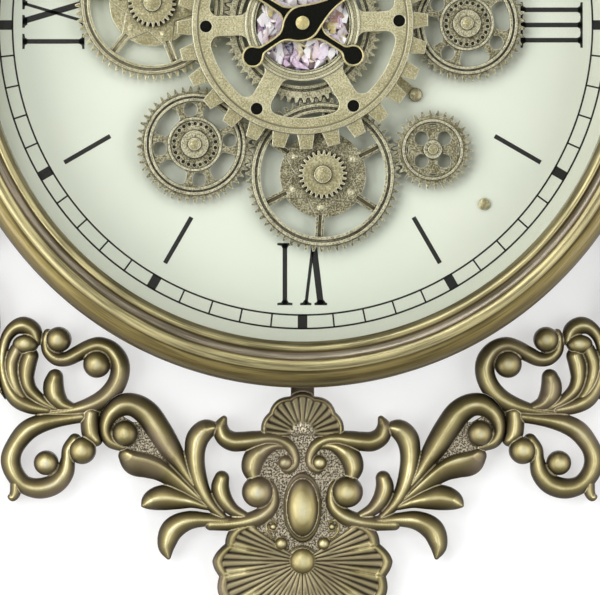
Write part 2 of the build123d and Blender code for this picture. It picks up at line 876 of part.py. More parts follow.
def bezel():
    """Turned bezel: lip, bead, cove, torus and a round shoulder down to the plain outer wall."""
    bead_in = lip_radius + lip_wall
    bead_out = bead_in + inner_bead_width
    torus_in = bead_out + cove_width
    torus_out = torus_in + torus_width
    level = lip_back + bezel_rise / 2
    crest = lip_back + bezel_rise
    low = lip_back - shoulder_drop
    pocket = lens_radius + fit_gap
    inside = bezel_radius - bezel_wall
    shoulder = (torus_out + 0.7 * (bezel_radius - torus_out), low + 0.7 * (level - low))
    edges = [
        Polyline((lip_radius, lip_back), (lip_radius, lip_back + bezel_rise / 4), (bead_in, level)),
        ThreePointArc((bead_in, level), ((bead_in + bead_out) / 2, level + inner_bead_width / 2.5),
                      (bead_out, level)),
        ThreePointArc((bead_out, level), ((bead_out + torus_in) / 2, level - cove_width / 3),
                      (torus_in, level)),
        ThreePointArc((torus_in, level), ((torus_in + torus_out) / 2, crest), (torus_out, level)),
        ThreePointArc((torus_out, level), shoulder, (bezel_radius, low)),
        Polyline((bezel_radius, low), (bezel_radius, bezel_rear), (inside, bezel_rear), (inside, lens_back),
                 (pocket, lens_back), (pocket, lip_back), (lip_radius, lip_back)),
    ]
    return turned([e for edge in edges for e in edge.edges()])


def case_band():
    """Drum inside the bezel: rear flange, wall and the ledge that the dial lies on."""
    band = washer(band_outer, band_inner, cover_thickness, lens_back - cover_thickness)
    band += washer(band_outer, flange_inner, cover_thickness, flange_thickness)
    band += washer(band_outer, band_inner - ledge_width, dial_back - ledge_thickness, ledge_thickness)
    for solid in cover_screw_solids() + frame_screw_solids():
        band -= solid
    return band


def dial_spacer():
    """Ring between the dial and the glass, with a foot out to the drum."""
    wall = washer(spacer_inner + spacer_wall, spacer_inner, dial_front, lens_back - dial_front)
    return wall + washer(dial_radius, spacer_inner, dial_front, spacer_foot)


def cover_screw_solids():
    circle = (flange_inner + cover_radius) / 2
    solids = []
    for i in range(cover_screw_count):
        x, z = polar(circle, 360 * (i + 0.5) / cover_screw_count)
        head = disc(screw_radius * 1.6, 0, cover_thickness / 2, x, z)
        solids.append(head + disc(screw_radius, 0, cover_thickness + screw_grip, x, z))
    return solids


def hanger_outline():
    return Pos(0, hanger_height) * Rectangle(hanger_width, hanger_length)


def hanger_rivet_places():
    x = (hanger_width - hanger_lap) / 2
    z = (hanger_length - hanger_lap) / 2
    return [(sx * x, hanger_height + sz * z) for sx in (-1, 1) for sz in (-1, 1)]


def hanger_plate():
    """Steel plate inside the cover, with a keyhole for the head of a wall screw."""
    low = hanger_height - keyhole_rise / 2
    keyhole = Pos(0, low) * Circle(keyhole_radius)
    keyhole += Pos(0, low + keyhole_rise / 2) * Rectangle(keyhole_slot, keyhole_rise)
    keyhole += Pos(0, low + keyhole_rise) * Circle(keyhole_slot / 2)
    plate = raised(hanger_outline() - keyhole, cover_thickness, hanger_thickness)
    for x, z in hanger_rivet_places():
        plate -= disc(rivet_radius, cover_thickness, hanger_thickness, x, z)
    return plate


def hanger_rivets():
    length = cover_thickness + hanger_thickness
    rivets = []
    for x, z in hanger_rivet_places():
        rivet = disc(rivet_radius, 0, length, x, z)
        rivets.append(rivet + dome(1.6 * rivet_radius, rivet_radius / 2, length, x, z))
    return group(rivets)


def back_cover():
    """Round cover with holes for the hanger, the cells and the setting knob."""
    cover = Circle(cover_radius) - Pos(0, hanger_height) * Rectangle(
        hanger_width - 2 * hanger_lap, hanger_length - 2 * hanger_lap)
    cover -= cell_opening(box_height)
    cover -= Pos(setting_x, setting_z) * Circle(knob_radius + knob_hole_margin)
    for x, z in hanger_rivet_places():
        cover -= Pos(x, z) * Circle(rivet_radius)
    plate = raised(cover, 0, cover_thickness)
    plate -= at_motor(raised(cell_opening(motor_height), 0, cover_thickness))
    for solid in cover_screw_solids():
        plate -= solid
    return plate


# Scroll frame. Strokes are (x, z, half width) points of the lower left quarter, for drawn_radius.

corner_strokes = [
    # S-scroll from its volute to the long tip on the left
    [(-128.4, -154.2, 1.8), (-129.6, -157.3, 1.7), (-128.6, -162.8, 2.6), (-124.1, -167.0, 3.1),
     (-118.6, -167.7, 3.2), (-113.7, -165.0, 3.5), (-108.2, -161.8, 3.7), (-102.7, -160.1, 3.9),
     (-96.8, -162.5, 4.4), (-92.9, -167.7, 5.0), (-92.0, -173.9, 4.8), (-94.4, -180.8, 4.8),
     (-99.9, -187.0, 4.7), (-107.5, -190.8, 3.9), (-116.5, -193.1, 2.8), (-124.8, -194.3, 1.7),
     (-133.1, -194.9, 0.8), (-141.0, -195.3, 0.4)],
    # Bud leaf inside the S-scroll
    [(-124.8, -176.4, 4.1), (-125.6, -180.8, 5.2), (-124.7, -185.6, 5.2), (-121.3, -189.9, 3.9),
     (-115.1, -192.3, 2.3)],
    # Outer, middle and inner bands of the large leaf
    [(-133.9, -158.1, 2.6), (-135.8, -152.8, 4.1), (-140.5, -150.3, 4.4), (-145.2, -151.6, 3.6),
     (-148.8, -155.6, 3.0), (-150.7, -160.8, 2.6), (-151.5, -167.0, 2.3), (-150.9, -173.9, 2.6),
     (-148.4, -181.5, 3.1), (-143.8, -188.0, 3.2), (-136.9, -192.0, 2.6), (-128.9, -193.9, 1.5)],
    [(-144.1, -162.8, 3.3), (-146.6, -169.0, 3.3), (-146.2, -175.9, 3.3), (-143.4, -183.5, 2.9),
     (-138.6, -189.1, 1.7)],
    [(-136.7, -165.7, 3.5), (-138.7, -170.8, 4.1), (-139.3, -176.6, 3.6), (-137.6, -182.2, 3.3),
     (-133.1, -187.1, 2.8), (-127.6, -190.8, 2.1), (-122.0, -193.1, 1.2)],
    # Lower C-scroll, its inner curl and its tail
    [(-111.0, -196.3, 3.1), (-117.9, -197.2, 3.3), (-124.8, -198.3, 3.3), (-132.4, -200.7, 3.8),
     (-139.3, -205.0, 4.3), (-145.0, -211.2, 4.8), (-147.2, -218.1, 5.0), (-145.2, -225.0, 4.7),
     (-140.0, -230.7, 4.6), (-132.4, -232.5, 5.2), (-124.8, -230.2, 5.2), (-120.0, -224.6, 4.7),
     (-118.4, -218.1, 3.6), (-117.9, -212.6, 3.3), (-114.8, -208.1, 3.3)],
    [(-142.1, -229.1, 1.5), (-136.5, -231.6, 2.1), (-130.3, -230.5, 2.3), (-125.8, -226.7, 2.2),
     (-124.4, -222.2, 1.5)],
    [(-144.5, -229.8, 3.0), (-144.7, -234.0, 2.8), (-145.9, -236.7, 2.3), (-147.2, -236.7, 1.5)],
    # Link to the branch
    [(-106.8, -194.6, 4.1), (-107.2, -199.4, 4.7), (-106.3, -205.0, 4.8), (-104.1, -208.1, 3.3)],
]
corner_balls = [
    (-122.6, -157.6, 6.1), (-103.7, -169.9, 6.9), (-139.6, -159.7, 5.5), (-111.0, -213.4, 6.9),
    (-129.3, -219.6, 6.2),
]
branch_strokes = [
    # Branch from its eye to the root of the spray
    [(-90.9, -211.5, 1.5), (-97.2, -208.4, 3.0), (-99.4, -202.5, 3.3), (-97.2, -195.6, 4.3),
     (-91.6, -190.8, 5.5), (-85.1, -190.5, 5.9), (-78.5, -194.6, 6.4), (-73.0, -202.2, 6.4),
     (-67.8, -210.5, 5.9), (-62.6, -218.8, 4.4), (-57.8, -226.4, 3.0), (-52.3, -233.3, 1.9),
     (-45.4, -239.5, 1.2)],
    # Bulb leaf under it, two spray leaves and the upright stem
    [(-89.2, -216.0, 3.7), (-84.7, -219.6, 6.2), (-78.5, -221.0, 6.2), (-72.3, -223.2, 5.4),
     (-66.1, -227.3, 4.4), (-59.2, -232.9, 3.3), (-53.0, -237.6, 2.1), (-46.7, -241.6, 1.2)],
    [(-80.2, -241.0, 1.2), (-75.7, -238.3, 5.0), (-69.5, -237.1, 6.4), (-62.6, -237.8, 5.2),
     (-55.7, -239.2, 3.2), (-48.8, -241.6, 1.8), (-43.3, -243.0, 1.1)],
    [(-67.6, -267.2, 1.2), (-68.6, -261.0, 4.4), (-65.6, -253.2, 5.8), (-57.8, -248.8, 4.8),
     (-47.9, -248.3, 3.4), (-36.2, -249.3, 2.6)],
    [(-44.9, -201.9, 3.1), (-49.1, -203.0, 5.2), (-52.8, -207.1, 5.8), (-54.2, -212.9, 5.3),
     (-54.2, -219.5, 5.0), (-52.8, -226.9, 4.6), (-50.1, -234.3, 3.8), (-45.9, -241.0, 3.0),
     (-40.0, -246.9, 1.9)],
    # Beaked bar to the upper volute, and the band under it
    [(-39.6, -196.8, 0.9), (-41.2, -201.4, 3.5), (-39.6, -206.2, 4.6), (-35.2, -208.8, 5.0),
     (-30.0, -208.8, 4.9), (-24.1, -208.1, 4.6), (-17.4, -207.3, 3.8), (-11.5, -208.1, 3.4),
     (-6.3, -211.4, 3.1), (-3.8, -216.6, 2.7), (-4.3, -221.0, 2.4), (-7.7, -223.2, 2.1),
     (-10.9, -221.4, 1.5)],
    [(-6.3, -211.8, 1.5), (-13.0, -210.8, 2.4), (-18.9, -212.3, 4.1), (-23.9, -216.7, 5.5),
     (-25.6, -221.7, 5.2), (-24.8, -226.5, 3.4)],
    # Scroll round the large ball, and the bud leaf that grows from it
    [(-20.4, -227.7, 1.5), (-16.1, -230.8, 2.4), (-14.5, -235.8, 2.8), (-15.8, -241.7, 3.7),
     (-21.1, -246.6, 4.3), (-28.5, -249.2, 4.1), (-37.4, -250.4, 3.5), (-46.3, -250.6, 3.1)],
    [(-40.7, -227.4, 3.8), (-41.5, -232.1, 4.6), (-39.6, -238.0, 4.3), (-35.2, -243.2, 3.3),
     (-28.9, -246.5, 2.2)],
]
branch_balls = [
    (-89.4, -204.8, 6.6), (-8.6, -219.5, 3.7), (-22.6, -234.2, 8.0), (-10.6, -260.2, 3.3),
]
branch_grounds = [
    [(-84.4, -205.7, 6.6), (-77.8, -211.9, 5.5), (-71.6, -217.4, 3.5)],
    [(-1.0, -211.4, 4.4), (-10.0, -217.3, 5.9), (-16.0, -223.2, 6.7)],
    [(-16.0, -223.2, 6.7), (-10.0, -227.7, 8.1), (-1.0, -231.3, 8.9)],
    [(-5.6, -243.9, 6.7), (-13.0, -246.9, 5.9), (-13.7, -254.3, 7.4), (-7.1, -260.9, 8.1),
     (-1.0, -262.4, 8.1)],
    [(-33.0, -254.3, 2.6), (-25.6, -255.0, 4.4), (-18.9, -255.7, 6.7)],
]
side_strokes = [
    # Long S-scroll from beside the large leaf to the boss at the middle of the side
    [(-149.5, -187.0, 0.8), (-153.8, -178.0, 2.2), (-156.3, -168.0, 3.2), (-156.8, -158.5, 3.6),
     (-156.8, -149.5, 4.3), (-158.4, -140.5, 4.8), (-162.5, -131.5, 4.9), (-168.5, -123.5, 4.9),
     (-176.0, -114.5, 5.0), (-181.5, -102.5, 5.0), (-186.0, -89.0, 4.8), (-193.0, -75.5, 4.8),
     (-201.5, -61.5, 5.0), (-207.0, -45.0, 5.0), (-207.0, -28.0, 4.6), (-202.5, -14.0, 4.0),
     (-196.5, -5.5, 3.4)],
    # Curl round the lower ball, and the leaf that grows outwards
    [(-178.5, -107.0, 2.6), (-174.5, -99.5, 3.6), (-166.5, -97.0, 3.6), (-159.5, -101.0, 3.0),
     (-157.5, -108.0, 2.0)],
    [(-190.0, -79.5, 1.6), (-199.0, -83.0, 3.8), (-207.5, -91.0, 5.2), (-211.5, -102.0, 4.4),
     (-210.0, -111.0, 1.2)],
    # Bud inside the upper bend
    [(-201.5, -58.0, 1.8), (-195.5, -51.0, 3.8), (-192.5, -41.5, 4.6), (-194.0, -32.5, 3.4)],
]
side_balls = [(-166.5, -107.0, 6.2), (-196.5, -20.5, 6.4)]
side_boss = (-191.0, 0.0, 9.0)
oval_place, oval_half_width, oval_half_height = -242.1, 9.8, 17.8
boss_place, boss_radius = -269.1, 8.0
neck_half_width = 5.5
small_shell_focus, small_shell_radius, small_shell_lobes, small_shell_span = -205.1, 21.3, 5, 190.0
big_shell_focus, big_shell_radius, big_shell_lobes, big_shell_span = -269.1, 45.5, 11, 250.0
side_shell_focus, side_shell_radius, side_shell_lobes, side_shell_span = -196.0, 20.0, 5, 200.0
lobe_rise = 0.06
shell_shoulder = 0.16
shell_rim = 3.0
ribs_per_lobe = 2
rib_width = 1.5

casting_back = cover_thickness
casting_front = casting_back + casting_base


def smooth(points):
    """Samples of a curve through (x, z, half width) points, as a list of such points."""
    ends = [points[0], *points, points[-1]]
    samples = []
    for a, b, c, d in zip(ends, ends[1:], ends[2:], ends[3:]):
        for i in range(stroke_steps):
            t = i / stroke_steps
            samples.append(tuple(
                q + 0.5 * t * ((r - p) + t * ((2 * p - 5 * q + 4 * r - s) + t * (3 * (q - r) + s - p)))
                for p, q, r, s in zip(a, b, c, d)))
    return samples + [tuple(points[-1])]


def stroke(points, share=1.0):
    """Face along a curve, as wide as its points say, with rounded ends."""
    samples = [tuple(frame_scale * v for v in point) for point in smooth(points)]
    count = len(samples)
    headings = []
    for i in range(count):
        ahead, behind = samples[min(i + 1, count - 1)], samples[max(i - 1, 0)]
        headings.append(degrees(atan2(ahead[1] - behind[1], ahead[0] - behind[0])))

    def beside(i, angle):
        x, z, half = samples[i]
        dx, dz = polar(share * half, headings[i] + angle)
        return x + dx, z + dz

    step = 180 / cap_steps
    outline = [beside(i, 90) for i in range(count)]
    outline += [beside(count - 1, 90 - step * k) for k in range(1, cap_steps)]
    outline += [beside(i, -90) for i in reversed(range(count))]
    outline += [beside(0, -90 - step * k) for k in range(1, cap_steps)]
    return polygon(outline)


def flipped(sketch):
    """A sketch and its mirror image across the clock's upright middle line."""
    return [sketch, mirror(sketch, about=Plane.YZ)]


def round_spot(ball):
    x, z, radius = (frame_scale * v for v in ball)
    return Pos(x, z) * Circle(radius)


def ball_dome(ball):
    x, z, radius = (frame_scale * v for v in ball)
    return dome(radius, ball_rise * radius, casting_front, x, z)


def shell_outline(radius, lobes, span, inset):
    """Scalloped fan about the origin, opening downwards, drawn in from its edge by an inset."""
    points = []
    steps = 6
    for i in range(lobes * steps + 1):
        angle = 270 - span / 2 + span * i / (lobes * steps)
        wave = abs(sin(pi * i / steps))
        drawn_in = 1 - shell_shoulder * max(0, abs(angle - 270) - 90) / 30
        points.append(polar(radius * drawn_in * (1 - lobe_rise + lobe_rise * wave) - inset, angle))
    return polygon([(0, 0)] + points)


def shell_layers(radius, lobes, span):
    """Plain fan, and the rim and ribs that stand on it."""
    radius = frame_scale * radius
    fan = shell_outline(radius, lobes, span, 0)
    rim = fan - shell_outline(radius, lobes, span, shell_rim)
    count = lobes * ribs_per_lobe
    ribs = []
    for i in range(1, count):
        angle = 270 - span / 2 + span * i / count
        ribs.append(Rot(0, 0, angle) * bar(radius / 3, radius - 1.5 * shell_rim, rib_width))
    return fan, Sketch() + [rim] + ribs


def casting(base, low, crest, domes):
    """One casting: strokes at full height with a crest, lower grounds, and domes for balls."""
    body = raised(base, casting_back, casting_base)
    if low:
        body += raised(low, casting_back, casting_base - shell_drop)
    body += raised(crest, casting_front, casting_crest)
    for solid in domes:
        body += solid
    return body


def joined(faces):
    return Sketch() + faces


def cartouche_sketches():
    """Base, low ground and crest sketches of the lower cartouche."""
    base, low, crest = [], [], []
    for points in branch_strokes:
        base += flipped(stroke(points))
        crest += flipped(stroke(points, crest_share))
    for ball in branch_balls:
        base += flipped(round_spot(ball))
    for points in branch_grounds:
        low += flipped(stroke(points))
    oval = Pos(0, frame_scale * oval_place) * Ellipse(frame_scale * oval_half_width,
                                                      frame_scale * oval_half_height)
    base += [oval, round_spot((0, boss_place, boss_radius))]
    for focus, turn, shape in (
        (small_shell_focus, 180, (small_shell_radius, small_shell_lobes, small_shell_span)),
        (big_shell_focus, 0, (big_shell_radius, big_shell_lobes, big_shell_span)),
    ):
        fan, relief = shell_layers(*shape)
        place = Pos(0, frame_scale * focus) * Rot(0, 0, turn)
        low.append(place * fan)
        crest_low = place * relief
        base.append(crest_low)
    neck_top = -band_outer - fit_gap
    neck_low = frame_scale * (small_shell_focus + small_shell_radius / 2)
    neck = Pos(0, (neck_top + neck_low) / 2) * Rectangle(2 * neck_half_width, neck_top - neck_low)
    return joined(base), joined(low), joined(crest), neck


def lower_cartouche():
    base, low, crest, neck = cartouche_sketches()
    domes = []
    for ball in branch_balls:
        domes += [ball_dome(ball), ball_dome((-ball[0], ball[1], ball[2]))]
    domes.append(ball_dome((0, boss_place, boss_radius)))
    body = casting(base, low, crest, domes)
    body += oval_boss()
    body += raised(neck, casting_back, bezel_rear - casting_back - fit_gap)
    return body - frame_screw_solids()


def oval_boss():
    """Long rounded boss in the middle of the cartouche."""
    levels = 3
    boss = None
    for i in range(levels):
        share = 1 - 0.28 * i
        oval = Pos(0, frame_scale * oval_place) * Ellipse(
            share * frame_scale * oval_half_width, share * frame_scale * oval_half_height)
        layer = raised(oval, casting_front + i * casting_crest / 2, casting_crest / 2)
        boss = layer if boss is None else boss + layer
    return boss


def corner_base():
    return joined([stroke(p) for p in corner_strokes] + [round_spot(b) for b in corner_balls])


def corner_casting():
    """Scroll group at the lower left, cut back where the branch of the cartouche meets it."""
    crest = joined([stroke(p, crest_share) for p in corner_strokes])
    meeting = stroke(branch_strokes[0]) + round_spot(branch_balls[0])
    body = casting(corner_base() - meeting, None, crest - meeting, [ball_dome(b) for b in corner_balls])
    return body - frame_screw_solids()


def side_casting():
    """Scrolls up the left side, alike above and below its boss, cut back where the corners meet them."""
    def both(sketch):
        return [sketch, mirror(sketch, about=Plane.XZ)]

    base, crest = [round_spot(side_boss)], []
    domes = [ball_dome(side_boss)]
    for points in side_strokes:
        base += both(stroke(points))
        crest += both(stroke(points, crest_share))
    for x, z, radius in side_balls:
        base += both(round_spot((x, z, radius)))
        domes += [ball_dome((x, z, radius)), ball_dome((x, -z, radius))]
    fan, relief = shell_layers(side_shell_radius, side_shell_lobes, side_shell_span)
    place = Pos(frame_scale * side_shell_focus, 0) * Rot(0, 0, -90)
    base.append(place * relief)
    meeting = joined(both(corner_base()))
    body = casting(joined(base) - meeting, place * fan, joined(crest) - meeting, domes)
    return body - frame_screw_solids()


# Steel straps behind the frame, and their screws

def strap_places():
    """Centre, length, width, angle and screw inset of each strap behind the frame."""
    case_length = bracket_seat + bracket_reach
    middle = band_outer - bracket_seat + case_length / 2
    places = []
    for angle in (0, 90, 180, 270):
        places.append((*polar(middle, angle), case_length, bracket_width, angle, bracket_seat / 2))
    for seam in ((*branch_seam, branch_strap_length), (*side_seam, side_strap_length)):
        x, z = (frame_scale * v for v in seam[:2])
        for sx in (-1, 1):
            for sz in (-1, 1):
                places.append((sx * x, sz * z, seam[2], seam_strap_width, 0, seam_screw_inset))
    return places


def strap_screw_places(x, z, length, angle, inset):
    dx, dz = polar(length / 2 - inset, angle)
    return [(x + dx, z + dz), (x - dx, z - dz)]


def frame_screw_solids():
    """Countersunk screws through the straps, into the drum's flange and the castings."""
    back = casting_back - bracket_thickness
    solids = []
    for x, z, length, _, angle, inset in strap_places():
        for sx, sz in strap_screw_places(x, z, length, angle, inset):
            head = disc(frame_screw_head, back, frame_screw_sink, sx, sz)
            shank = disc(frame_screw_radius, back, bracket_thickness + frame_screw_grip, sx, sz)
            solids.append(head + shank)
    return solids


def frame_straps():
    back = casting_back - bracket_thickness
    straps = []
    for x, z, length, width, angle, _ in strap_places():
        shape = Pos(x, z) * Rot(0, 0, angle) * SlotOverall(length, width)
        strap = raised(shape, back, bracket_thickness)
        for screw in frame_screw_solids():
            strap -= screw
        straps.append(strap)
    return group(straps)


def across(part):
    return mirror(part, about=Plane.YZ)


def upended(part):
    return mirror(part, about=Plane.XY)


# Every piece by name

def pieces():
    yield "back_cover", back_cover()
    yield "back_cover_screws", group(cover_screw_solids())
    yield "hanger_plate", hanger_plate()
    yield "hanger_rivets", hanger_rivets()
    yield "case_band", case_band()
    yield "bezel", bezel()
    yield "lens", disc(lens_radius, lens_back, lens_thickness)
    yield "lens_gasket", washer(lens_radius, spacer_inner, lens_front, gasket_thickness)
    yield "dial_spacer", dial_spacer()
    yield "dial_plate", dial_plate()
    yield "dial_strap", dial_strap()
    yield "dial_screws", dial_screws()
    yield "gear_posts", group([gear_post(name) for name in post_names])
    yield "post_caps", group([post_cap(name) for name in post_names])
    yield "main_gear", main_gear()
    yield "spoke_plugs", spoke_plugs()
    yield "centre_drive_gear", drive_gear()
    yield "crystal_tray", crystal_tray()
    yield "crystal_bed", crystal_bed()
    for name in large_names:
        yield name, large_gear(wheels[name])
        yield name.replace("gear", "pinion"), large_pinion(wheels[name])
    for name in middle_names:
        yield name, middle_gear(wheels[name])
    yield "lower_right_gear", small_gear(lower_right, post_radius)
    yield "upper_gear", small_gear(upper, bore_radius)
    yield "motor_shaft", motor_shaft()
    yield "motor_housing", motor_housing()
    yield "motor_lid", motor_lid()
    yield "motor_can", motor_can()
    yield "movement_case", movement_case()
    yield "movement_lid", movement_lid()
    yield "circuit_board", circuit_board()
    yield "movement_coil", movement_coil()
    yield "cells", group([cell(cell_z), at_motor(cell(motor_cell_z))])
    yield "cell_contacts", group(contacts(cell_z) + [at_motor(c) for c in contacts(motor_cell_z)])
    yield "centre_tube", centre_tube()
    yield "centre_nut", centre_nut()
    yield "centre_clip", centre_clip()
    yield "minute_arbor", minute_arbor()
    yield "minute_hand", hand(minute_length, minute_leaf_width, minute_stem_width, minute_hub_radius,
                              arbor_radius, minute_angle, minute_back)
    yield "hand_cap", hand_cap()
    yield "hour_pipe", hour_pipe()
    yield "hour_hand", hand(hour_length, hour_leaf_width, hour_stem_width, hour_hub_radius,
                            pipe_outer, hour_angle, hour_back)
    yield "minute_wheel", minute_wheel()
    yield "setting_knob", setting_knob()
    cartouche, corner, side = lower_cartouche(), corner_casting(), side_casting()
    yield "lower_cartouche", cartouche
    yield "upper_cartouche", upended(cartouche)
    yield "lower_left_scroll", corner
    yield "lower_right_scroll", across(corner)
    yield "upper_left_scroll", upended(corner)
    yield "upper_right_scroll", across(upended(corner))
    yield "left_side_scroll", side
    yield "right_side_scroll", across(side)
    yield "frame_straps", frame_straps()
    yield "frame_screws", group(frame_screw_solids())


os.makedirs("parts", exist_ok=True)
for name, piece in pieces():
    export_step(piece, f"parts/{name}.step")
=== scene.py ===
import bmesh
import bpy
import json
import random
from math import cos, pi, radians, sin, sqrt
import numpy as np
from mathutils import Euler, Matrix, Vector


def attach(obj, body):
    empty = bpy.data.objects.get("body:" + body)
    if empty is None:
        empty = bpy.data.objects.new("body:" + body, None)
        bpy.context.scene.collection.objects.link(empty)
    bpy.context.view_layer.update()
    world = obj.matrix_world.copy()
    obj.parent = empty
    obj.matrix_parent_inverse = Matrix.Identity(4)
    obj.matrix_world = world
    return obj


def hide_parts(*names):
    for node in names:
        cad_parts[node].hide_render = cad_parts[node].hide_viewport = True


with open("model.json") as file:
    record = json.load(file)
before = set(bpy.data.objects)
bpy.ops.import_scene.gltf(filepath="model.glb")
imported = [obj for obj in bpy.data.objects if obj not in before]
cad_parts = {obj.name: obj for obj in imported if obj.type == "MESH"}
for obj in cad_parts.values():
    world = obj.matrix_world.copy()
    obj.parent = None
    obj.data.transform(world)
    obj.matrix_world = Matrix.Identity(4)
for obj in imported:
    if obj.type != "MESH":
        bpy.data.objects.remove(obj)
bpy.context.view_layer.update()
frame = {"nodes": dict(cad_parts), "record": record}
nodes = frame["nodes"]
scene = bpy.context.scene

# Lengths are in millimetres, apart from those of the wall and the lamps, which are in metres.
# A depth is a distance off the wall, so it is -Y.
MM = 0.001
dial_front = 25.0
small_gear_web = 30.2
main_gear_rim = 55.0
shader_samples = 6


# Materials

def srgb(r, g, b):
    """Linear colour of screen values from 0 to 255."""
    values = []
    for c in (r / 255, g / 255, b / 255):
        values.append(c / 12.92 if c <= 0.04045 else ((c + 0.055) / 1.055) ** 2.4)
    return (*values, 1.0)


def put(tree, socket, value):
    """Links an input to a socket, or sets it to a value."""
    if isinstance(value, bpy.types.NodeSocket):
        tree.links.new(value, socket)
    else:
        socket.default_value = value


def new_node(tree, kind, inputs=None, **settings):
    node = tree.nodes.new(kind)
    for key, value in settings.items():
        setattr(node, key, value)
    for key, value in (inputs or {}).items():
        put(tree, node.inputs[key], value)
    return node


def smooth_step(tree, value, low, high, start=0.0, end=1.0):
    """Runs from start to end as a value goes from low to high."""
    inputs = {"Value": value, "From Min": low, "From Max": high, "To Min": start, "To Max": end}
    return new_node(tree, "ShaderNodeMapRange", inputs, interpolation_type="SMOOTHSTEP").outputs["Result"]


class Look:
    """A Principled material, with short names for the nodes it is made from."""

    def __init__(self, name, metallic=0.0, roughness=0.5):
        self.mat = bpy.data.materials.new(name)
        self.mat.use_nodes = True
        self.tree = self.mat.node_tree
        self.shader = self.tree.nodes["Principled BSDF"]
        self.coords = self.add("ShaderNodeTexCoord").outputs["Object"]
        self.set("Metallic", metallic)
        self.set("Roughness", roughness)

    def add(self, kind, inputs=None, **settings):
        return new_node(self.tree, kind, inputs, **settings)

    def set(self, name, value):
        put(self.tree, self.shader.inputs[name], value)

    def noise(self, scale, detail=2.0, rough=0.5, coords=None):
        inputs = {"Vector": coords or self.coords, "Scale": scale, "Detail": detail, "Roughness": rough}
        return self.add("ShaderNodeTexNoise", inputs).outputs["Fac"]

    def math(self, operation, a, b=0.0):
        return self.add("ShaderNodeMath", {0: a, 1: b}, operation=operation).outputs[0]

    def span(self, *bounds):
        return smooth_step(self.tree, *bounds)

    def mix(self, share, a, b):
        return self.add("ShaderNodeMix", {0: share, 6: a, 7: b}, data_type="RGBA").outputs[2]

    def ramp(self, value, stops):
        node = self.add("ShaderNodeValToRGB", {"Fac": value})
        band = node.color_ramp
        while len(band.elements) < len(stops):
            band.elements.new(0.5)
        for element, (position, colour) in zip(band.elements, stops):
            element.position = position
            element.color = colour
        return node.outputs["Color"]

    def attribute(self, name):
        return self.add("ShaderNodeAttribute", attribute_name=name).outputs["Fac"]

    def axes(self):
        return self.add("ShaderNodeSeparateXYZ", {0: self.coords}).outputs

    def radius(self, x, z):
        return self.math("SQRT", self.math("ADD", self.math("MULTIPLY", x, x), self.math("MULTIPLY", z, z)))

    def stretched(self, values, scales):
        """Texture coordinates from three values, each with a scale of its own."""
        scaled = [self.math("MULTIPLY", value, scale) for value, scale in zip(values, scales)]
        return self.add("ShaderNodeCombineXYZ", dict(enumerate(scaled))).outputs[0]

    def crevice(self, reach):
        """0 in the open to 1 in a corner, from ambient occlusion; the looks darken by it, a painted shade."""
        node = self.add("ShaderNodeAmbientOcclusion", {"Distance": reach * MM}, samples=shader_samples)
        return self.math("SUBTRACT", 1.0, node.outputs["AO"])

    def rounded(self, radius):
        """Normal with rounded edges, and a share that is high beside an edge."""
        normal = self.add("ShaderNodeBevel", {"Radius": radius * MM}, samples=shader_samples).outputs[0]
        flat = self.add("ShaderNodeNewGeometry").outputs["Normal"]
        dot = self.add("ShaderNodeVectorMath", {0: normal, 1: flat}, operation="DOT_PRODUCT")
        return normal, self.math("SUBTRACT", 1.0, dot.outputs["Value"])

    def bump(self, height, depth, normal=None):
        inputs = {"Height": height, "Distance": depth * MM}
        if normal is not None:
            inputs["Normal"] = normal
        self.set("Normal", self.add("ShaderNodeBump", inputs).outputs[0])


def gear_brass(name, pale, dark, edge_wear_and_highlight, reach, grain_size=1300, web=None, rim=None, edge_radius=0.4):
    """Antique brass with a fine stipple, pale on its edges (wear and painted highlight), dark in its corners
    (patina and painted shade).

    A web at a given depth is darker than the ridges before it, a painted shade. A rim of a given radius has a
    dark band painted just inside it, a painted shadow line, and is darker to each side.
    """
    look = Look(name, 0.5, 0.42)
    normal, edge = look.rounded(edge_radius)
    grain = look.noise(grain_size, 3, 0.65)
    cloud = look.noise(160, 2)
    tone = look.math("ADD", grain, look.math("MULTIPLY", look.math("SUBTRACT", cloud, 0.5), 0.25))
    x, y, z = look.axes()
    # Painted shade: a sunk web, and what lies further back, is darker than the ridges before it.
    if web:
        depth = look.math("MULTIPLY", y, -1 / MM)
        tone = look.math("SUBTRACT", tone, look.span(depth, web + 0.1, web + 0.6, 0.10, 0.0))
        tone = look.math("SUBTRACT", tone, look.span(depth, web - 0.52, web - 0.42, 0.16, 0.0))
    if rim:
        radius = look.radius(x, z)
        # A dark band painted just inside the rim: a painted shadow line in its groove.
        away = look.math("ABSOLUTE", look.math("SUBTRACT", look.math("DIVIDE", radius, MM), rim - 2.7))
        tone = look.math("SUBTRACT", tone, look.span(away, 0.3, 0.9, 0.5, 0.0))
        tone = look.math("SUBTRACT", tone, look.span(radius, (rim - 9) * MM, (rim - 7) * MM, 0.0, 0.05))
        tone = look.math("SUBTRACT", tone, look.span(radius, rim * MM, (rim + 0.4) * MM, 0.0, 0.05))
    colour = look.mix(look.span(tone, 0.26, 0.68), dark, pale)
    # Paler beside each edge: partly wear, partly a painted highlight.
    colour = look.mix(look.span(edge, 0.006, 0.09, 0.0, 0.9), colour, edge_wear_and_highlight)
    # Darker in corners and hollows by ambient occlusion: partly patina, partly painted shade.
    colour = look.mix(look.span(look.crevice(reach), 0.12, 0.46, 0.0, 0.95), colour, srgb(38, 34, 18))
    look.set("Base Color", colour)
    look.set("Roughness", look.span(grain, 0.3, 0.7, 0.52, 0.36))
    look.bump(grain, 0.05, normal)
    return look.mat


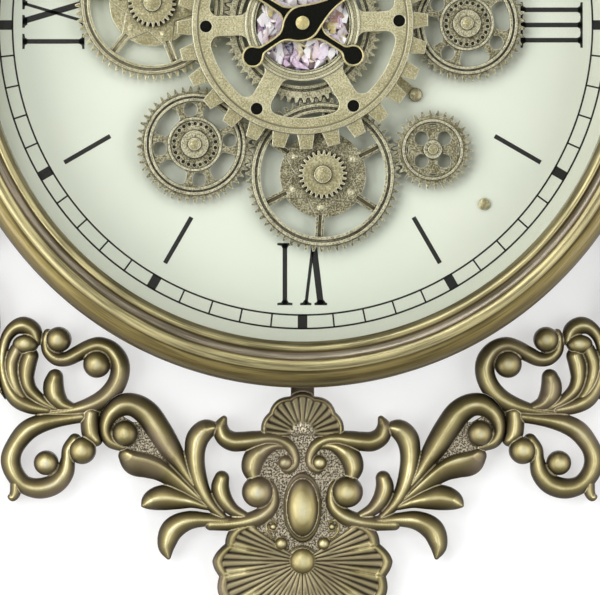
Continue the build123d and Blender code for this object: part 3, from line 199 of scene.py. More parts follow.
def bezel_brass():
    """Brass turned and brushed along the rim, banded by radius: pale on the bead and crest, dark in the
    joins, the cove and on the outer step, mostly painted reflection and shade, partly patina.
    """
    look = Look("bezel_brass", 0.94, 0.46)
    look.set("Coat Weight", 0.6)
    look.set("Coat Roughness", 0.2)
    normal = look.rounded(0.25)[0]
    x, y, z = look.axes()
    radius = look.radius(x, z)
    around = (look.math("ARCTAN2", z, x), radius, y)
    brush = look.noise(1.0, 4, 0.6, look.stretched(around, (6.0, 1300.0, 1300.0)))
    streak = look.noise(1.0, 3, 0.55, look.stretched(around, (4.5, 420.0, 420.0)))
    # Bands by radius stand for the light on the turned profile: gold on the bead and crest as a painted
    # reflection, dark lines at the joins and a dark outer edge as painted shade.
    ramp_start, ramp_width = 157.0, 25.0
    share = look.math("DIVIDE", look.math("SUBTRACT", radius, ramp_start * MM), ramp_width * MM)
    gold, mid = srgb(214, 203, 150), srgb(176, 160, 102)
    taupe, olive, line = srgb(190, 179, 158), srgb(146, 138, 104), srgb(134, 121, 82)
    shades = [(158.0, olive), (159.6, olive), (160.3, gold), (162.5, gold), (163.1, line), (164.0, taupe),
              (166.6, taupe), (167.1, line), (167.8, gold), (171.6, gold), (172.7, srgb(146, 130, 80)),
              (174.0, mid), (176.5, srgb(144, 128, 76)), (181.0, srgb(76, 66, 35))]
    base = look.ramp(share, [((r - ramp_start) / ramp_width, shade) for r, shade in shades])
    tone = look.math("ADD", look.math("MULTIPLY", brush, 0.6), look.math("MULTIPLY", streak, 0.7))
    colour = look.mix(look.span(tone, 0.48, 0.80), look.mix(0.66, base, srgb(76, 65, 34)), base)
    # Darker in the cove and corners by ambient occlusion: patina and painted shade.
    colour = look.mix(look.span(look.crevice(2.5), 0.2, 0.75, 0.0, 0.7), colour, srgb(52, 45, 24))
    look.set("Base Color", colour)
    look.set("Roughness", look.span(streak, 0.3, 0.7, 0.42, 0.54))
    look.bump(brush, 0.012, normal)
    return look.mat


def cast_bronze():
    """Cast scrolls: pale along the crests and gold to near black down the sides, a painted highlight and
    shade over the relieved patina of antique bronze; pale in the joins.
    """
    look = Look("cast_bronze", 0.5, 0.4)
    grain = look.noise(1500, 3, 0.6)
    cloud = look.noise(60, 3)
    stain = look.math("MULTIPLY", look.math("SUBTRACT", cloud, 0.56), 0.34)
    # Tone follows the crest value: painted highlight along the crests and the fan ribs, painted shade down
    # the sides.
    tone = look.math("ADD", look.attribute("crest"), stain)
    tone = look.math("ADD", tone, look.math("MULTIPLY", look.math("SUBTRACT", grain, 0.5), 0.06))
    colour = look.ramp(tone, [
        (0.0, srgb(44, 38, 22)), (0.12, srgb(56, 49, 28)), (0.32, srgb(82, 73, 45)),
        (0.55, srgb(112, 101, 64)), (0.76, srgb(146, 133, 84)), (0.92, srgb(220, 210, 158)),
        (1.0, srgb(250, 245, 212))])
    ribs = look.ramp(tone, [
        (0.0, srgb(42, 36, 24)), (0.45, srgb(98, 88, 62)), (0.85, srgb(164, 152, 116)),
        (1.0, srgb(192, 181, 142))])
    colour = look.mix(look.span(look.noise(38, 2), 0.45, 0.7, 0.0, 0.42), colour, srgb(132, 117, 101))
    colour = look.mix(look.attribute("fan"), colour, ribs)
    ground = look.attribute("ground")
    stipple = look.noise(1050, 2, 0.7)
    speck = look.mix(look.span(stipple, 0.42, 0.60), srgb(80, 70, 52), srgb(222, 211, 184))
    colour = look.mix(ground, colour, speck)
    # Darker in corners by ambient occlusion: patina and painted shade.
    colour = look.mix(look.span(look.crevice(2.5), 0.35, 0.9, 0.0, 0.55), colour, srgb(50, 42, 24))
    colour = look.mix(look.span(look.attribute("crease"), 0.25, 0.9, 0.0, 0.75), colour, srgb(222, 210, 176))
    look.set("Base Color", colour)
    look.set("Roughness", look.span(grain, 0.3, 0.7, 0.36, 0.48))
    height = look.math("ADD", look.math("MULTIPLY", grain, 0.15), look.math("MULTIPLY", stipple, ground))
    look.bump(height, 0.2)
    return look.mat


def black_enamel():
    """Satin black paint over metal."""
    look = Look("black_paint", 0.0, 0.5)
    fine = look.noise(900, 2)
    look.set("Specular IOR Level", 0.06)
    look.set("Base Color", look.mix(fine, srgb(8, 8, 5), srgb(17, 15, 10)))
    look.bump(fine, 0.02, look.rounded(0.15)[0])
    return look.mat


def plain(name, light, dark, roughness, scale, metallic=0.0, depth=0.03, edge=None):
    """Even finish with fine grain and slow clouding, a rounded edge painted paler where an edge colour is
    given, a painted highlight, and painted shade in its corners.
    """
    look = Look(name, metallic, roughness)
    normal, beside = look.rounded(0.2)
    grain = look.noise(scale, 3, 0.6)
    cloud = look.noise(scale / 22, 2)
    tone = look.math("ADD", look.math("MULTIPLY", grain, 0.55), look.math("MULTIPLY", cloud, 0.45))
    colour = look.mix(look.span(tone, 0.32, 0.68), dark, light)
    # Paler beside the edges: a painted highlight.
    if edge:
        colour = look.mix(look.span(beside, 0.02, 0.15, 0.0, 0.6), colour, edge)
    # Darker in corners by ambient occlusion: painted shade.
    colour = look.mix(look.span(look.crevice(2.0), 0.3, 0.9, 0.0, 0.5), colour, dark)
    look.set("Base Color", colour)
    look.set("Roughness", look.span(grain, 0.3, 0.7, roughness + 0.08, roughness - 0.08))
    look.bump(grain, depth, normal)
    return look.mat


def brushed_steel():
    look = Look("plated_steel", 0.95, 0.3)
    normal, edge = look.rounded(0.2)
    lines = look.noise(1.0, 3, 0.6, look.stretched(look.axes(), (60.0, 60.0, 1800.0)))
    colour = look.mix(look.span(lines, 0.3, 0.7), srgb(150, 150, 148), srgb(205, 205, 202))
    # Paler beside the edges: a painted highlight.
    look.set("Base Color", look.mix(look.span(edge, 0.02, 0.15, 0.0, 0.5), colour, srgb(228, 228, 225)))
    look.set("Roughness", look.span(lines, 0.3, 0.7, 0.38, 0.24))
    look.bump(lines, 0.02, normal)
    return look.mat


def dial_paint():
    """Pale painted metal with a faint orange peel and slow yellowing."""
    look = Look("dial_paint", 0.0, 0.55)
    peel = look.noise(700, 2)
    cloud = look.noise(9, 3)
    colour = look.mix(look.span(cloud, 0.35, 0.65), srgb(226, 234, 216), srgb(232, 238, 220))
    look.set("Base Color", look.mix(look.span(peel, 0.3, 0.7, 0.0, 0.12), colour, srgb(216, 223, 204)))
    look.bump(peel, 0.015)
    return look.mat


def clear_glass():
    look = Look("clear_glass", 0.0, 0.03)
    haze = look.noise(25, 2)
    look.set("Base Color", look.mix(haze, srgb(46, 52, 48), srgb(58, 62, 58)))
    look.set("Roughness", look.span(haze, 0.3, 0.7, 0.02, 0.05))
    look.set("Alpha", 0.03)
    return look.mat


def crystal_look():
    """Broken chips, each its own tint, clouded inside and glossy."""
    look = Look("crystal_chips", 0.0, 0.12)
    tint = look.add("ShaderNodeAttribute", attribute_name="tint").outputs["Color"]
    cloud = look.noise(420, 3, 0.6)
    colour = look.mix(look.span(cloud, 0.42, 0.7, 0.0, 0.55), tint, srgb(246, 240, 244))
    # Darker where chips meet by ambient occlusion: painted shade.
    colour = look.mix(look.span(look.crevice(2.0), 0.35, 0.95, 0.0, 0.6), colour, srgb(92, 66, 92))
    look.set("Base Color", colour)
    look.set("Coat Weight", 0.6)
    look.set("Coat Roughness", 0.08)
    look.bump(cloud, 0.12)
    return look.mat


def coil_winding():
    look = Look("coil_copper", 0.7, 0.35)
    wire_pitch = 0.35 * MM
    turns = look.math("SINE", look.math("MULTIPLY", look.axes()[0], 2 * pi / wire_pitch))
    grain = look.noise(900, 2)
    # Darker between the turns and paler along each: painted shade and highlight of the round wire.
    colour = look.mix(look.span(turns, -0.8, 0.8), srgb(92, 42, 18), srgb(196, 112, 58))
    look.set("Base Color", look.mix(look.span(grain, 0.4, 0.7, 0.0, 0.3), colour, srgb(140, 70, 34)))
    look.bump(turns, 0.08)
    return look.mat


looks = {
    "gear_brass": gear_brass("gear_brass", srgb(236, 231, 194), srgb(98, 91, 60), srgb(252, 249, 220), 2.0,
                             web=small_gear_web),
    "bezel_brass": bezel_brass(),
    "frame_bronze": cast_bronze(),
    "black_paint": black_enamel(),
    "dial_paint": dial_paint(),
    "clear_glass": clear_glass(),
    "gasket_rubber": plain("gasket_rubber", srgb(52, 52, 50), srgb(34, 34, 33), 0.7, 900),
    "case_plastic": plain("case_plastic", srgb(58, 54, 48), srgb(44, 41, 36), 0.55, 1100, depth=0.05,
                          edge=srgb(84, 80, 72)),
    "plated_steel": brushed_steel(),
    "black_plastic": plain("black_plastic", srgb(48, 48, 48), srgb(34, 34, 34), 0.5, 1300, depth=0.04,
                           edge=srgb(74, 74, 72)),
    "white_plastic": plain("white_plastic", srgb(238, 236, 228), srgb(222, 219, 208), 0.45, 800),
    "board_green": plain("board_green", srgb(36, 104, 58), srgb(22, 78, 42), 0.4, 500),
    "coil_copper": coil_winding(),
    "cell_jacket": plain("cell_jacket", srgb(96, 98, 104), srgb(78, 80, 86), 0.28, 300, 0.4),
}
bright_brass = gear_brass("bright_brass", srgb(220, 208, 150), srgb(188, 172, 112), srgb(240, 232, 194), 1.5,
                          grain_size=500)
dial_ink = plain("dial_ink", srgb(32, 33, 27), srgb(22, 23, 19), 0.5, 500, depth=0.01)
# Paler brass: the own tone of the pinions, caps, posts, strap, screws and shaft, and for the main and left
# gears partly painted light, a lit copy of the gear brass.
pale_and_lit_brass = gear_brass("pale_and_lit_brass", srgb(232, 226, 184), srgb(152, 143, 102), srgb(253, 251, 224), 2.5,
                        rim=main_gear_rim, edge_radius=0.75)
crystal = crystal_look()

pale_and_lit_nodes = ("main_gear", "left_gear", "bottom_pinion", "left_pinion", "top_pinion", "dial_strap",
              "dial_screws", "post_caps", "gear_posts", "motor_shaft")
own_looks = {"hand_cap": bright_brass, **dict.fromkeys(pale_and_lit_nodes, pale_and_lit_brass)}

for part in frame["record"]["subparts"]:
    chosen = own_looks.get(part["node"]) or looks.get(part["material_slot"])
    if chosen:
        materials = nodes[part["node"]].data.materials
        materials.clear()
        materials.append(chosen)


# New pieces

def new_object(name, data):
    made = bpy.data.objects.new(name, data)
    scene.collection.objects.link(made)
    return made


def add_piece(name, coords, faces, material, body, stands_for=(), attributes=None, smooth_below=None):
    """A piece from points in millimetres that rides on a body, in place of the nodes it stands for."""
    mesh = bpy.data.meshes.new(name)
    mesh.from_pydata([tuple(MM * c for c in co) for co in coords], [], faces)
    for key, values in (attributes or {}).items():
        made = mesh.attributes.new(key, "FLOAT", "POINT")
        made.data.foreach_set("value", np.asarray(values, np.float32))
    if smooth_below:
        mesh.shade_smooth()
        mesh.set_sharp_from_angle(angle=radians(smooth_below))
    mesh.validate()
    mesh.materials.append(material)
    piece = new_object(name, mesh)
    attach(piece, body)
    if stands_for:
        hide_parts(*stands_for)
    return piece


# Scroll frame. Strokes are (x, z, half width) points of the lower left quarter, near those of the solids.
# Balls are (x, z, radius), or (x, z, half width, half height). Grounds are low strokes between the others.

corner_strokes = [
    [(-128.4, -154.2, 2.2), (-129.6, -157.6, 2.2), (-128.5, -163.1, 2.9), (-124.3, -166.9, 3.5),
     (-119.2, -167.3, 3.7), (-113.8, -164.8, 4.0), (-108.2, -161.8, 4.1), (-102.7, -160.3, 4.2),
     (-96.8, -162.5, 4.5), (-92.9, -167.7, 5.0), (-92.0, -173.9, 4.9), (-94.4, -180.8, 4.9),
     (-99.9, -187.0, 4.9), (-107.5, -190.8, 4.2), (-116.5, -193.1, 3.0), (-124.8, -194.3, 1.8),
     (-133.1, -194.9, 0.8)],
    [(-124.8, -176.4, 4.1), (-125.6, -180.8, 5.2), (-124.7, -185.6, 5.2), (-121.3, -189.9, 3.9),
     (-115.1, -192.3, 2.3)],
    [(-133.9, -158.1, 2.6), (-135.8, -152.8, 4.1), (-140.5, -150.3, 4.4), (-145.2, -151.6, 3.6),
     (-148.8, -155.6, 3.0), (-150.7, -160.8, 2.6), (-151.5, -167.0, 2.3), (-150.9, -173.9, 2.6),
     (-148.4, -181.5, 3.4), (-143.8, -187.6, 4.2), (-136.9, -191.2, 3.8), (-128.9, -192.9, 2.6)],
    [(-144.1, -162.8, 3.6), (-146.6, -169.0, 3.7), (-146.2, -175.9, 3.7), (-143.4, -183.5, 3.2),
     (-138.6, -189.1, 1.9)],
    [(-137.4, -165.7, 4.3), (-138.9, -170.8, 4.5), (-139.3, -176.6, 4.0), (-137.6, -182.2, 3.6),
     (-133.1, -187.1, 3.0), (-127.6, -190.8, 2.2), (-122.0, -193.1, 1.3)],
    [(-111.0, -196.3, 3.1), (-117.9, -197.2, 3.3), (-124.8, -198.2, 3.9), (-132.4, -200.0, 4.8),
     (-139.3, -203.8, 5.2), (-145.0, -211.2, 4.8), (-147.2, -218.1, 5.0), (-145.2, -225.0, 4.7),
     (-140.0, -230.7, 4.6), (-132.4, -232.5, 5.2), (-124.8, -230.2, 5.2), (-120.0, -224.6, 4.7),
     (-118.4, -218.1, 3.6), (-117.9, -212.6, 3.3), (-114.8, -208.1, 3.3)],
    [(-142.1, -229.1, 1.5), (-136.5, -231.6, 2.1), (-130.3, -230.5, 2.3), (-125.8, -226.7, 2.2),
     (-124.4, -222.2, 1.5)],
    [(-144.5, -229.8, 3.0), (-144.7, -234.0, 2.8), (-145.9, -236.7, 2.3), (-147.2, -236.7, 1.5)],
    [(-106.8, -194.6, 4.1), (-107.2, -199.4, 4.7), (-106.3, -205.0, 4.8), (-104.1, -208.1, 3.3)],
]
corner_balls = [
    (-122.9, -157.4, 6.4), (-103.7, -169.9, 6.9), (-139.6, -159.7, 6.6, 4.7), (-111.0, -213.4, 6.9),
    (-129.3, -219.6, 6.2),
]
branch_strokes = [
    [(-90.6, -211.6, 2.3), (-96.8, -208.6, 3.3), (-99.4, -202.5, 3.4), (-97.2, -195.6, 4.3),
     (-91.6, -190.8, 5.5), (-85.1, -190.5, 5.9), (-78.5, -194.6, 6.4), (-73.0, -202.2, 6.4),
     (-67.8, -210.5, 5.9), (-62.6, -218.8, 4.4), (-57.8, -226.4, 3.0), (-52.3, -233.3, 1.9),
     (-45.4, -239.5, 1.2)],
    [(-89.2, -216.0, 3.7), (-84.7, -219.6, 6.2), (-78.5, -221.0, 6.2), (-72.3, -223.2, 5.4),
     (-66.1, -227.3, 4.4), (-59.2, -232.9, 3.3), (-53.0, -237.6, 2.1), (-46.7, -241.6, 1.2)],
    [(-80.2, -241.0, 1.2), (-75.7, -238.3, 5.0), (-69.5, -237.1, 6.4), (-62.6, -237.8, 5.2),
     (-55.7, -239.2, 3.2), (-48.8, -241.6, 1.8), (-43.3, -243.0, 1.1)],
    [(-67.6, -267.2, 1.2), (-68.6, -261.0, 4.4), (-65.6, -253.2, 5.8), (-57.8, -248.8, 4.8),
     (-47.9, -248.3, 3.4), (-36.2, -249.3, 2.6)],
    [(-44.9, -201.9, 3.1), (-49.1, -203.0, 5.2), (-52.8, -207.1, 5.8), (-54.2, -212.9, 5.3),
     (-54.2, -219.5, 5.0), (-52.8, -226.9, 4.6), (-50.1, -234.3, 3.8), (-45.9, -241.0, 3.0),
     (-40.0, -246.9, 1.9)],
    [(-39.6, -197.4, 1.6), (-41.2, -201.6, 3.6), (-39.6, -206.2, 4.6), (-35.2, -208.8, 5.0),
     (-30.0, -208.8, 4.9), (-24.1, -208.1, 4.6), (-17.4, -207.3, 3.8), (-11.5, -208.1, 3.4),
     (-6.3, -211.4, 3.1), (-3.8, -216.6, 2.7), (-4.3, -221.0, 2.4), (-7.7, -223.2, 2.1),
     (-10.9, -221.4, 1.5)],
    [(-6.3, -211.8, 1.5), (-13.0, -210.8, 2.4), (-18.9, -212.3, 4.1), (-23.9, -216.7, 5.5),
     (-25.6, -221.7, 5.2), (-24.8, -226.5, 3.4)],
    [(-20.4, -227.7, 1.5), (-16.1, -230.8, 2.4), (-14.5, -235.8, 2.8), (-15.8, -241.7, 3.7),
     (-21.1, -246.6, 4.3), (-28.5, -249.2, 4.1), (-37.4, -250.4, 3.5), (-46.3, -250.6, 3.1)],
    [(-40.7, -227.4, 3.8), (-41.5, -232.1, 4.6), (-39.6, -238.0, 4.3), (-35.2, -243.2, 3.3),
     (-28.9, -246.5, 2.2)],
]
curl_strokes = [
    [(-13.0, -251.9, 0.6), (-13.7, -253.7, 0.7), (-16.3, -253.7, 0.8), (-18.2, -251.5, 0.9),
     (-16.7, -248.9, 1.0), (-13.1, -249.1, 0.8)],
    [(-18.2, -251.5, 0.9), (-17.6, -254.5, 1.0), (-15.1, -257.2, 1.0), (-11.4, -257.6, 0.9)],
]
branch_balls = [
    (-89.4, -204.8, 6.6), (-8.6, -219.5, 3.7), (-22.6, -234.2, 8.0), (-10.6, -260.2, 3.3),
    (-14.8, -251.7, 1.8),
]
branch_grounds = [
    [(-84.4, -205.7, 6.6), (-77.8, -211.9, 5.5), (-71.6, -217.4, 3.5)],
    [(-92.4, -203.0, 6.8), (-87.5, -206.5, 7.4)],
    [(-1.0, -211.4, 4.4), (-10.0, -217.3, 5.9), (-16.0, -223.2, 6.7)],
    [(-16.0, -223.2, 6.7), (-10.0, -227.7, 8.1), (-1.0, -231.3, 8.9)],
    [(-5.6, -243.9, 6.7), (-13.0, -246.9, 5.9), (-13.7, -254.3, 7.4), (-7.1, -260.9, 8.1),
     (-1.0, -262.4, 8.1)],
    [(-33.0, -254.3, 2.6), (-25.6, -255.0, 4.4), (-18.9, -255.7, 6.7)],
]
middle_grounds = [
    [(-2.0, -206.0, 6.0), (-2.5, -214.0, 4.5), (-2.5, -225.0, 5.0)],
    [(-11.5, -234.0, 3.5), (-11.5, -246.0, 3.5)],
]
corner_grounds = [
    [(-140.5, -165.0, 5.0), (-143.5, -172.0, 6.0), (-142.5, -180.5, 5.5), (-137.0, -187.5, 4.5)],
    [(-99.0, -189.5, 3.0), (-102.0, -195.0, 3.2), (-102.6, -201.0, 3.0)],
]
side_strokes = [
    [(-149.5, -187.0, 0.8), (-153.8, -178.0, 2.2), (-156.3, -168.0, 3.2), (-156.8, -158.5, 3.6),
     (-156.8, -149.5, 4.3), (-158.4, -140.5, 4.8), (-162.5, -131.5, 4.9), (-168.5, -123.5, 4.9),
     (-176.0, -114.5, 5.0), (-181.5, -102.5, 5.0), (-186.0, -89.0, 4.8), (-193.0, -75.5, 4.8),
     (-201.5, -61.5, 5.0), (-207.0, -45.0, 5.0), (-207.0, -28.0, 4.6), (-202.5, -14.0, 4.0),
     (-196.5, -5.5, 3.4)],
    [(-178.5, -107.0, 2.6), (-174.5, -99.5, 3.6), (-166.5, -97.0, 3.6), (-159.5, -101.0, 3.0),
     (-157.5, -108.0, 2.0)],
    [(-190.0, -79.5, 1.6), (-199.0, -83.0, 3.8), (-207.5, -91.0, 5.2), (-211.5, -102.0, 4.4),
     (-210.0, -111.0, 1.2)],
    [(-201.5, -58.0, 1.8), (-195.5, -51.0, 3.8), (-192.5, -41.5, 4.6), (-194.0, -32.5, 3.4)],
]
side_balls = [(-166.5, -107.0, 6.2), (-196.5, -20.5, 6.4), (-191.0, 0.0, 9.0)]

casting_back = 2.0
edge_depth = 6.2
ground_depth = 6.6
form_foot = edge_depth + 0.1
strap_depth = 4.5
outside = -10.0
casting_grid = 0.45
side_grid = 0.55
leaning_leaf = branch_strokes[1]


def smooth(points, steps=14):
    """Dense samples of a curve through (x, z, half width) points."""
    pts = np.array(points, float)
    ends = np.vstack([pts[:1], pts, pts[-1:]])
    samples = []
    for a, b, c, d in zip(ends, ends[1:], ends[2:], ends[3:]):
        for t in np.arange(steps) / steps:
            bend = (2 * a - 5 * b + 4 * c - d) + t * (3 * (b - c) + d - a)
            samples.append(b + 0.5 * t * ((c - a) + t * bend))
    return np.array(samples + [pts[-1]])


class Relief:
    """Heights on a grid, made up of strokes, balls and shells, each standing over what is lower."""

    def __init__(self, xs, zs, fold_x=False, fold_z=False):
        self.xs, self.zs = xs, zs
        x, z = np.meshgrid(xs, zs)
        self.x = -np.abs(x) if fold_x else x
        self.z = -np.abs(z) if fold_z else z
        self.room = np.full(x.shape, outside)
        self.top = np.full(x.shape, edge_depth)
        # Crest is how near the top of its form a point lies; the bronze look paints it as highlight and
        # shade.
        self.crest, self.ground, self.fan = np.zeros((3, *x.shape))

    def lay(self, window, room, depth, crest, ground=0.0, fan=0.0):
        """Adds a form in part of the grid: room is how far inside its outline a point is."""
        self.room[window] = np.maximum(self.room[window], room)
        higher = (room > 0) & (depth > self.top[window])
        layers = ((self.top, depth), (self.crest, crest), (self.ground, ground), (self.fan, fan))
        for layer, value in layers:
            layer[window] = np.where(higher, value, layer[window])

    def window(self, x0, x1, z0, z1):
        near = (self.x > x0) & (self.x < x1) & (self.z > z0) & (self.z < z1)
        rows, columns = np.any(near, 1), np.any(near, 0)
        if not rows.any():
            return None
        r, c = np.where(rows)[0], np.where(columns)[0]
        return np.s_[r[0]:r[-1] + 1, c[0]:c[-1] + 1]

    def stroke(self, points, low=False, stippled=True, lean=0.0):
        """Rounded band along a curve, or flat low ground. A crest may lean to the left of the way it runs."""
        samples = smooth(points)
        way = np.gradient(samples[:, :2], axis=0)
        way = way / np.maximum(np.hypot(way[:, :1], way[:, 1:]), 1e-9)
        reach = samples[:, 2].max() + 2
        window = self.window(samples[:, 0].min() - reach, samples[:, 0].max() + reach,
                             samples[:, 1].min() - reach, samples[:, 1].max() + reach)
        if window is None:
            return
        x, z = self.x[window], self.z[window]
        best = np.full(x.shape, 9.0)
        width = np.ones(x.shape)
        for (sx, sz, half), (wx, wz) in zip(samples, way):
            u, v = (x - sx) / half + lean * wz, (z - sz) / half - lean * wx
            past = lean * (v * wx - u * wz)
            t = (past + np.sqrt(past ** 2 + (1 - lean ** 2) * (u * u + v * v))) / (1 - lean ** 2)
            closer = t < best
            best = np.where(closer, t, best)
            width = np.where(closer, half, width)
        t = np.clip(best, 0, 1)
        if low:
            depth, tone = np.full(x.shape, ground_depth), np.full(x.shape, 0.6)
            self.lay(window, (1 - best) * width, depth, tone, float(stippled), float(not stippled))
            return
        rise = np.minimum(1.05 * width, 5.2)
        ridge, arch, side = 1 - np.sqrt(t * t + 0.01) + 0.1, 1 - t * t, np.sqrt(1 - t * t)
        depth = form_foot + rise * (0.52 * ridge + 0.18 * arch + 0.30 * side)
        self.lay(window, (1 - best) * width, depth, 1 - t)

    def ball(self, x0, z0, rx, rz=None):
        rz = rz or rx
        foot, rise = 1.2, 0.75 * min(rx, rz) + 0.6
        window = self.window(x0 - rx - 2, x0 + rx + 2, z0 - rz - 2, z0 + rz + 2)
        if window is None:
            return
        t = np.hypot((self.x[window] - x0) / rx, (self.z[window] - z0) / rz)
        s = np.clip(t, 0, 1)
        depth = edge_depth + foot + rise * np.sqrt(1 - s * s)
        # Ball crest: a painted highlight on the top of the ball, dark at its foot.
        self.lay(window, (1 - t) * min(rx, rz), depth, 1 - s * s)

    def oval(self, z0, rx, rz):
        """Boss on the middle line with a flat rim round it."""
        window = self.window(-rx - 2, rx + 2, z0 - rz - 2, z0 + rz + 2)
        t = np.hypot(self.x[window] / rx, (self.z[window] - z0) / rz)
        dome_share, rim_middle, rim_foot = 0.82, 0.91, 7.0
        on_dome = t < dome_share
        arch = np.sqrt(1 - np.clip(t / dome_share, 0, 1) ** 2)
        rim = np.clip((1 - t) / 0.06, 0, 1)
        depth = rim_foot + rim + np.where(on_dome, 0.55 * rx * arch - 0.5, 0)
        # A pale ring just inside the rim: a painted highlight.
        ring = 0.62 * np.exp(-((t - rim_middle) / 0.045) ** 2)
        self.lay(window, (1 - t) * rx, depth, np.where(on_dome, 0.95 * arch, ring))

    def shell(self, x0, z0, radius, lobes, span, heading, flutes, hub=0.0, looped=False):
        """Scalloped fan: a bead along its rim, looped round each lobe or not, and flutes to its focus."""
        window = self.window(x0 - radius - 2, x0 + radius + 2, z0 - radius - 2, z0 + radius + 2)
        x, z = self.x[window] - x0, self.z[window] - z0
        r = np.hypot(x, z)
        turn = np.degrees(np.arctan2(z, x)) - heading
        turn = (turn + 180) % 360 - 180
        place = (turn / span + 0.5) * lobes
        local = place - np.floor(place)
        drawn_in = 1 - 0.16 * np.maximum(0, np.abs(turn) - 90) / 30
        edge = radius * drawn_in * (0.94 + 0.06 * np.abs(np.sin(pi * place)))
        room = np.minimum(edge - r, radians(1) * (span / 2 - np.abs(turn)) * r)
        pitch = radians(span / lobes) * r
        beside = np.minimum(local, 1 - local) * pitch
        rim = 0.075 * radius
        inward = edge - r - rim
        panel = np.minimum(inward, beside - 0.9) if looped else inward
        fade = np.clip((r / radius - 0.45) / 0.2, 0, 1)
        bead = np.clip(1 - (np.where(inward < beside - 0.9, inward, panel) / (0.5 * rim)) ** 2, 0, 1)
        bead = bead * np.where(inward > 0.6, fade, 1.0)

        def ridges(count):
            phase = count * local
            away = np.minimum(phase - np.floor(phase), np.ceil(phase) - phase)
            return 1 - np.exp(-(away / 0.2) ** 2)

        wide = np.clip((pitch / flutes - 1.3) / 0.6, 0, 1)
        ridge = wide * ridges(flutes) + (1 - wide) * ridges(max(flutes // 2, 1))
        inside = np.clip((inward - 0.4 * rim) / 0.5, 0, 1)
        roll = np.sqrt(np.clip(1 - (1 - np.clip((edge - r) / rim, 0, 1)) ** 2, 0, 1))
        dish = np.clip(1 - r / radius, 0, 1)
        depth = form_foot + 1.9 * roll + 0.6 * bead + inside * (0.6 * ridge - 0.9) + dish
        # Crest of the shell: painted highlights on the bead and the flute ridges, painted shade between.
        crest = np.maximum(0.92 * bead, np.where(inside > 0, 0.9 * inside * ridge, 0.35 * roll ** 2))
        fan = inside * (1 - bead)
        stipple = np.clip((hub - r) / 1.2, 0, 1)
        self.lay(window, room, depth, crest, stipple, fan)

    def block(self, x0, x1, z0, z1, depth):
        window = self.window(x0 - 2, x1 + 2, z0 - 2, z1 + 2)
        x, z = self.x[window], self.z[window]
        room = np.minimum(np.minimum(x - x0, x1 - x), np.minimum(z - z0, z1 - z))
        self.lay(window, room, np.full(x.shape, depth), 0 * x)

    def pieces(self, mirrors, cut=None):
        """Meshes of this relief, one for each (node, x sign, z sign), kept clear of what cuts it."""
        clearance, crease_depth = 0.12, 0.30
        room = self.room if cut is None else np.minimum(self.room, -cut - clearance)
        inside = room > 0
        level = self.top
        for k in range(2):
            for axis in (0, 1):
                level = (np.roll(level, 1, axis) + level + np.roll(level, -1, axis)) / 3
        crease = np.clip((level - self.top) / crease_depth, 0, 1) * (1 - self.ground) * (1 - self.fan)
        number = np.full(room.shape, -1)
        number[inside] = np.arange(inside.sum())
        rows, columns = np.where(inside)
        points = [(self.xs[c], -self.top[r, c], self.zs[r]) for r, c in zip(rows, columns)]
        values = {"crest": list(self.crest[inside]), "crease": list(crease[inside]),
                  "ground": list(self.ground[inside]), "fan": list(self.fan[inside])}
        faces, made, rear = [], {}, {}

        def new_point(x, depth, z, crest=0.0):
            points.append((x, -depth, z))
            for key, stored in values.items():
                stored.append(crest if key == "crest" else 0.0)
            return len(points) - 1

        def crossing(a, b):
            key = (a, b) if a < b else (b, a)
            if key not in made:
                share = room[a] / (room[a] - room[b])
                x = self.xs[a[1]] + share * (self.xs[b[1]] - self.xs[a[1]])
                z = self.zs[a[0]] + share * (self.zs[b[0]] - self.zs[a[0]])
                # Outline points take no crest: painted shade along the edges.
                made[key] = new_point(x, edge_depth, z)
            return made[key]

        def behind(i):
            if i not in rear:
                rear[i] = new_point(points[i][0], casting_back, points[i][2], 0.5)
            return rear[i]

        full = inside[:-1, :-1] & inside[:-1, 1:] & inside[1:, 1:] & inside[1:, :-1]
        some = inside[:-1, :-1] | inside[:-1, 1:] | inside[1:, 1:] | inside[1:, :-1]
        for r, c in zip(*np.where(full)):
            faces.append((number[r, c], number[r, c + 1], number[r + 1, c + 1], number[r + 1, c]))
        for r, c in zip(*np.where(some & ~full)):
            corners = [(r, c), (r, c + 1), (r + 1, c + 1), (r + 1, c)]
            walk = []
            for a, b in zip(corners, corners[1:] + corners[:1]):
                if inside[a]:
                    walk.append((number[a], False))
                if inside[a] != inside[b]:
                    walk.append((crossing(a, b), bool(inside[a])))
            faces.append(tuple(i for i, leaving in walk))
            faces.append(tuple(behind(i) for i, leaving in reversed(walk)))
            for (i, leaving), following in zip(walk, walk[1:] + walk[:1]):
                if leaving:
                    j = following[0]
                    faces.append((j, i, behind(i), behind(j)))
        for r in range(full.shape[0]):
            c = 0
            while c < full.shape[1]:
                if not full[r, c]:
                    c += 1
                    continue
                first = c
                while c < full.shape[1] and full[r, c]:
                    c += 1
                ends = ((r, first), (r + 1, first), (r + 1, c), (r, c))
                faces.append(tuple(behind(number[k]) for k in ends))
        for node, sx, sz in mirrors:
            coords = [(sx * x, y, sz * z) for x, y, z in points]
            turned = faces if sx * sz > 0 else [tuple(reversed(f)) for f in faces]
            add_piece(node + "_relief", coords, turned, looks["frame_bronze"], "case",
                      (node,), values, smooth_below=38)


# Bezel

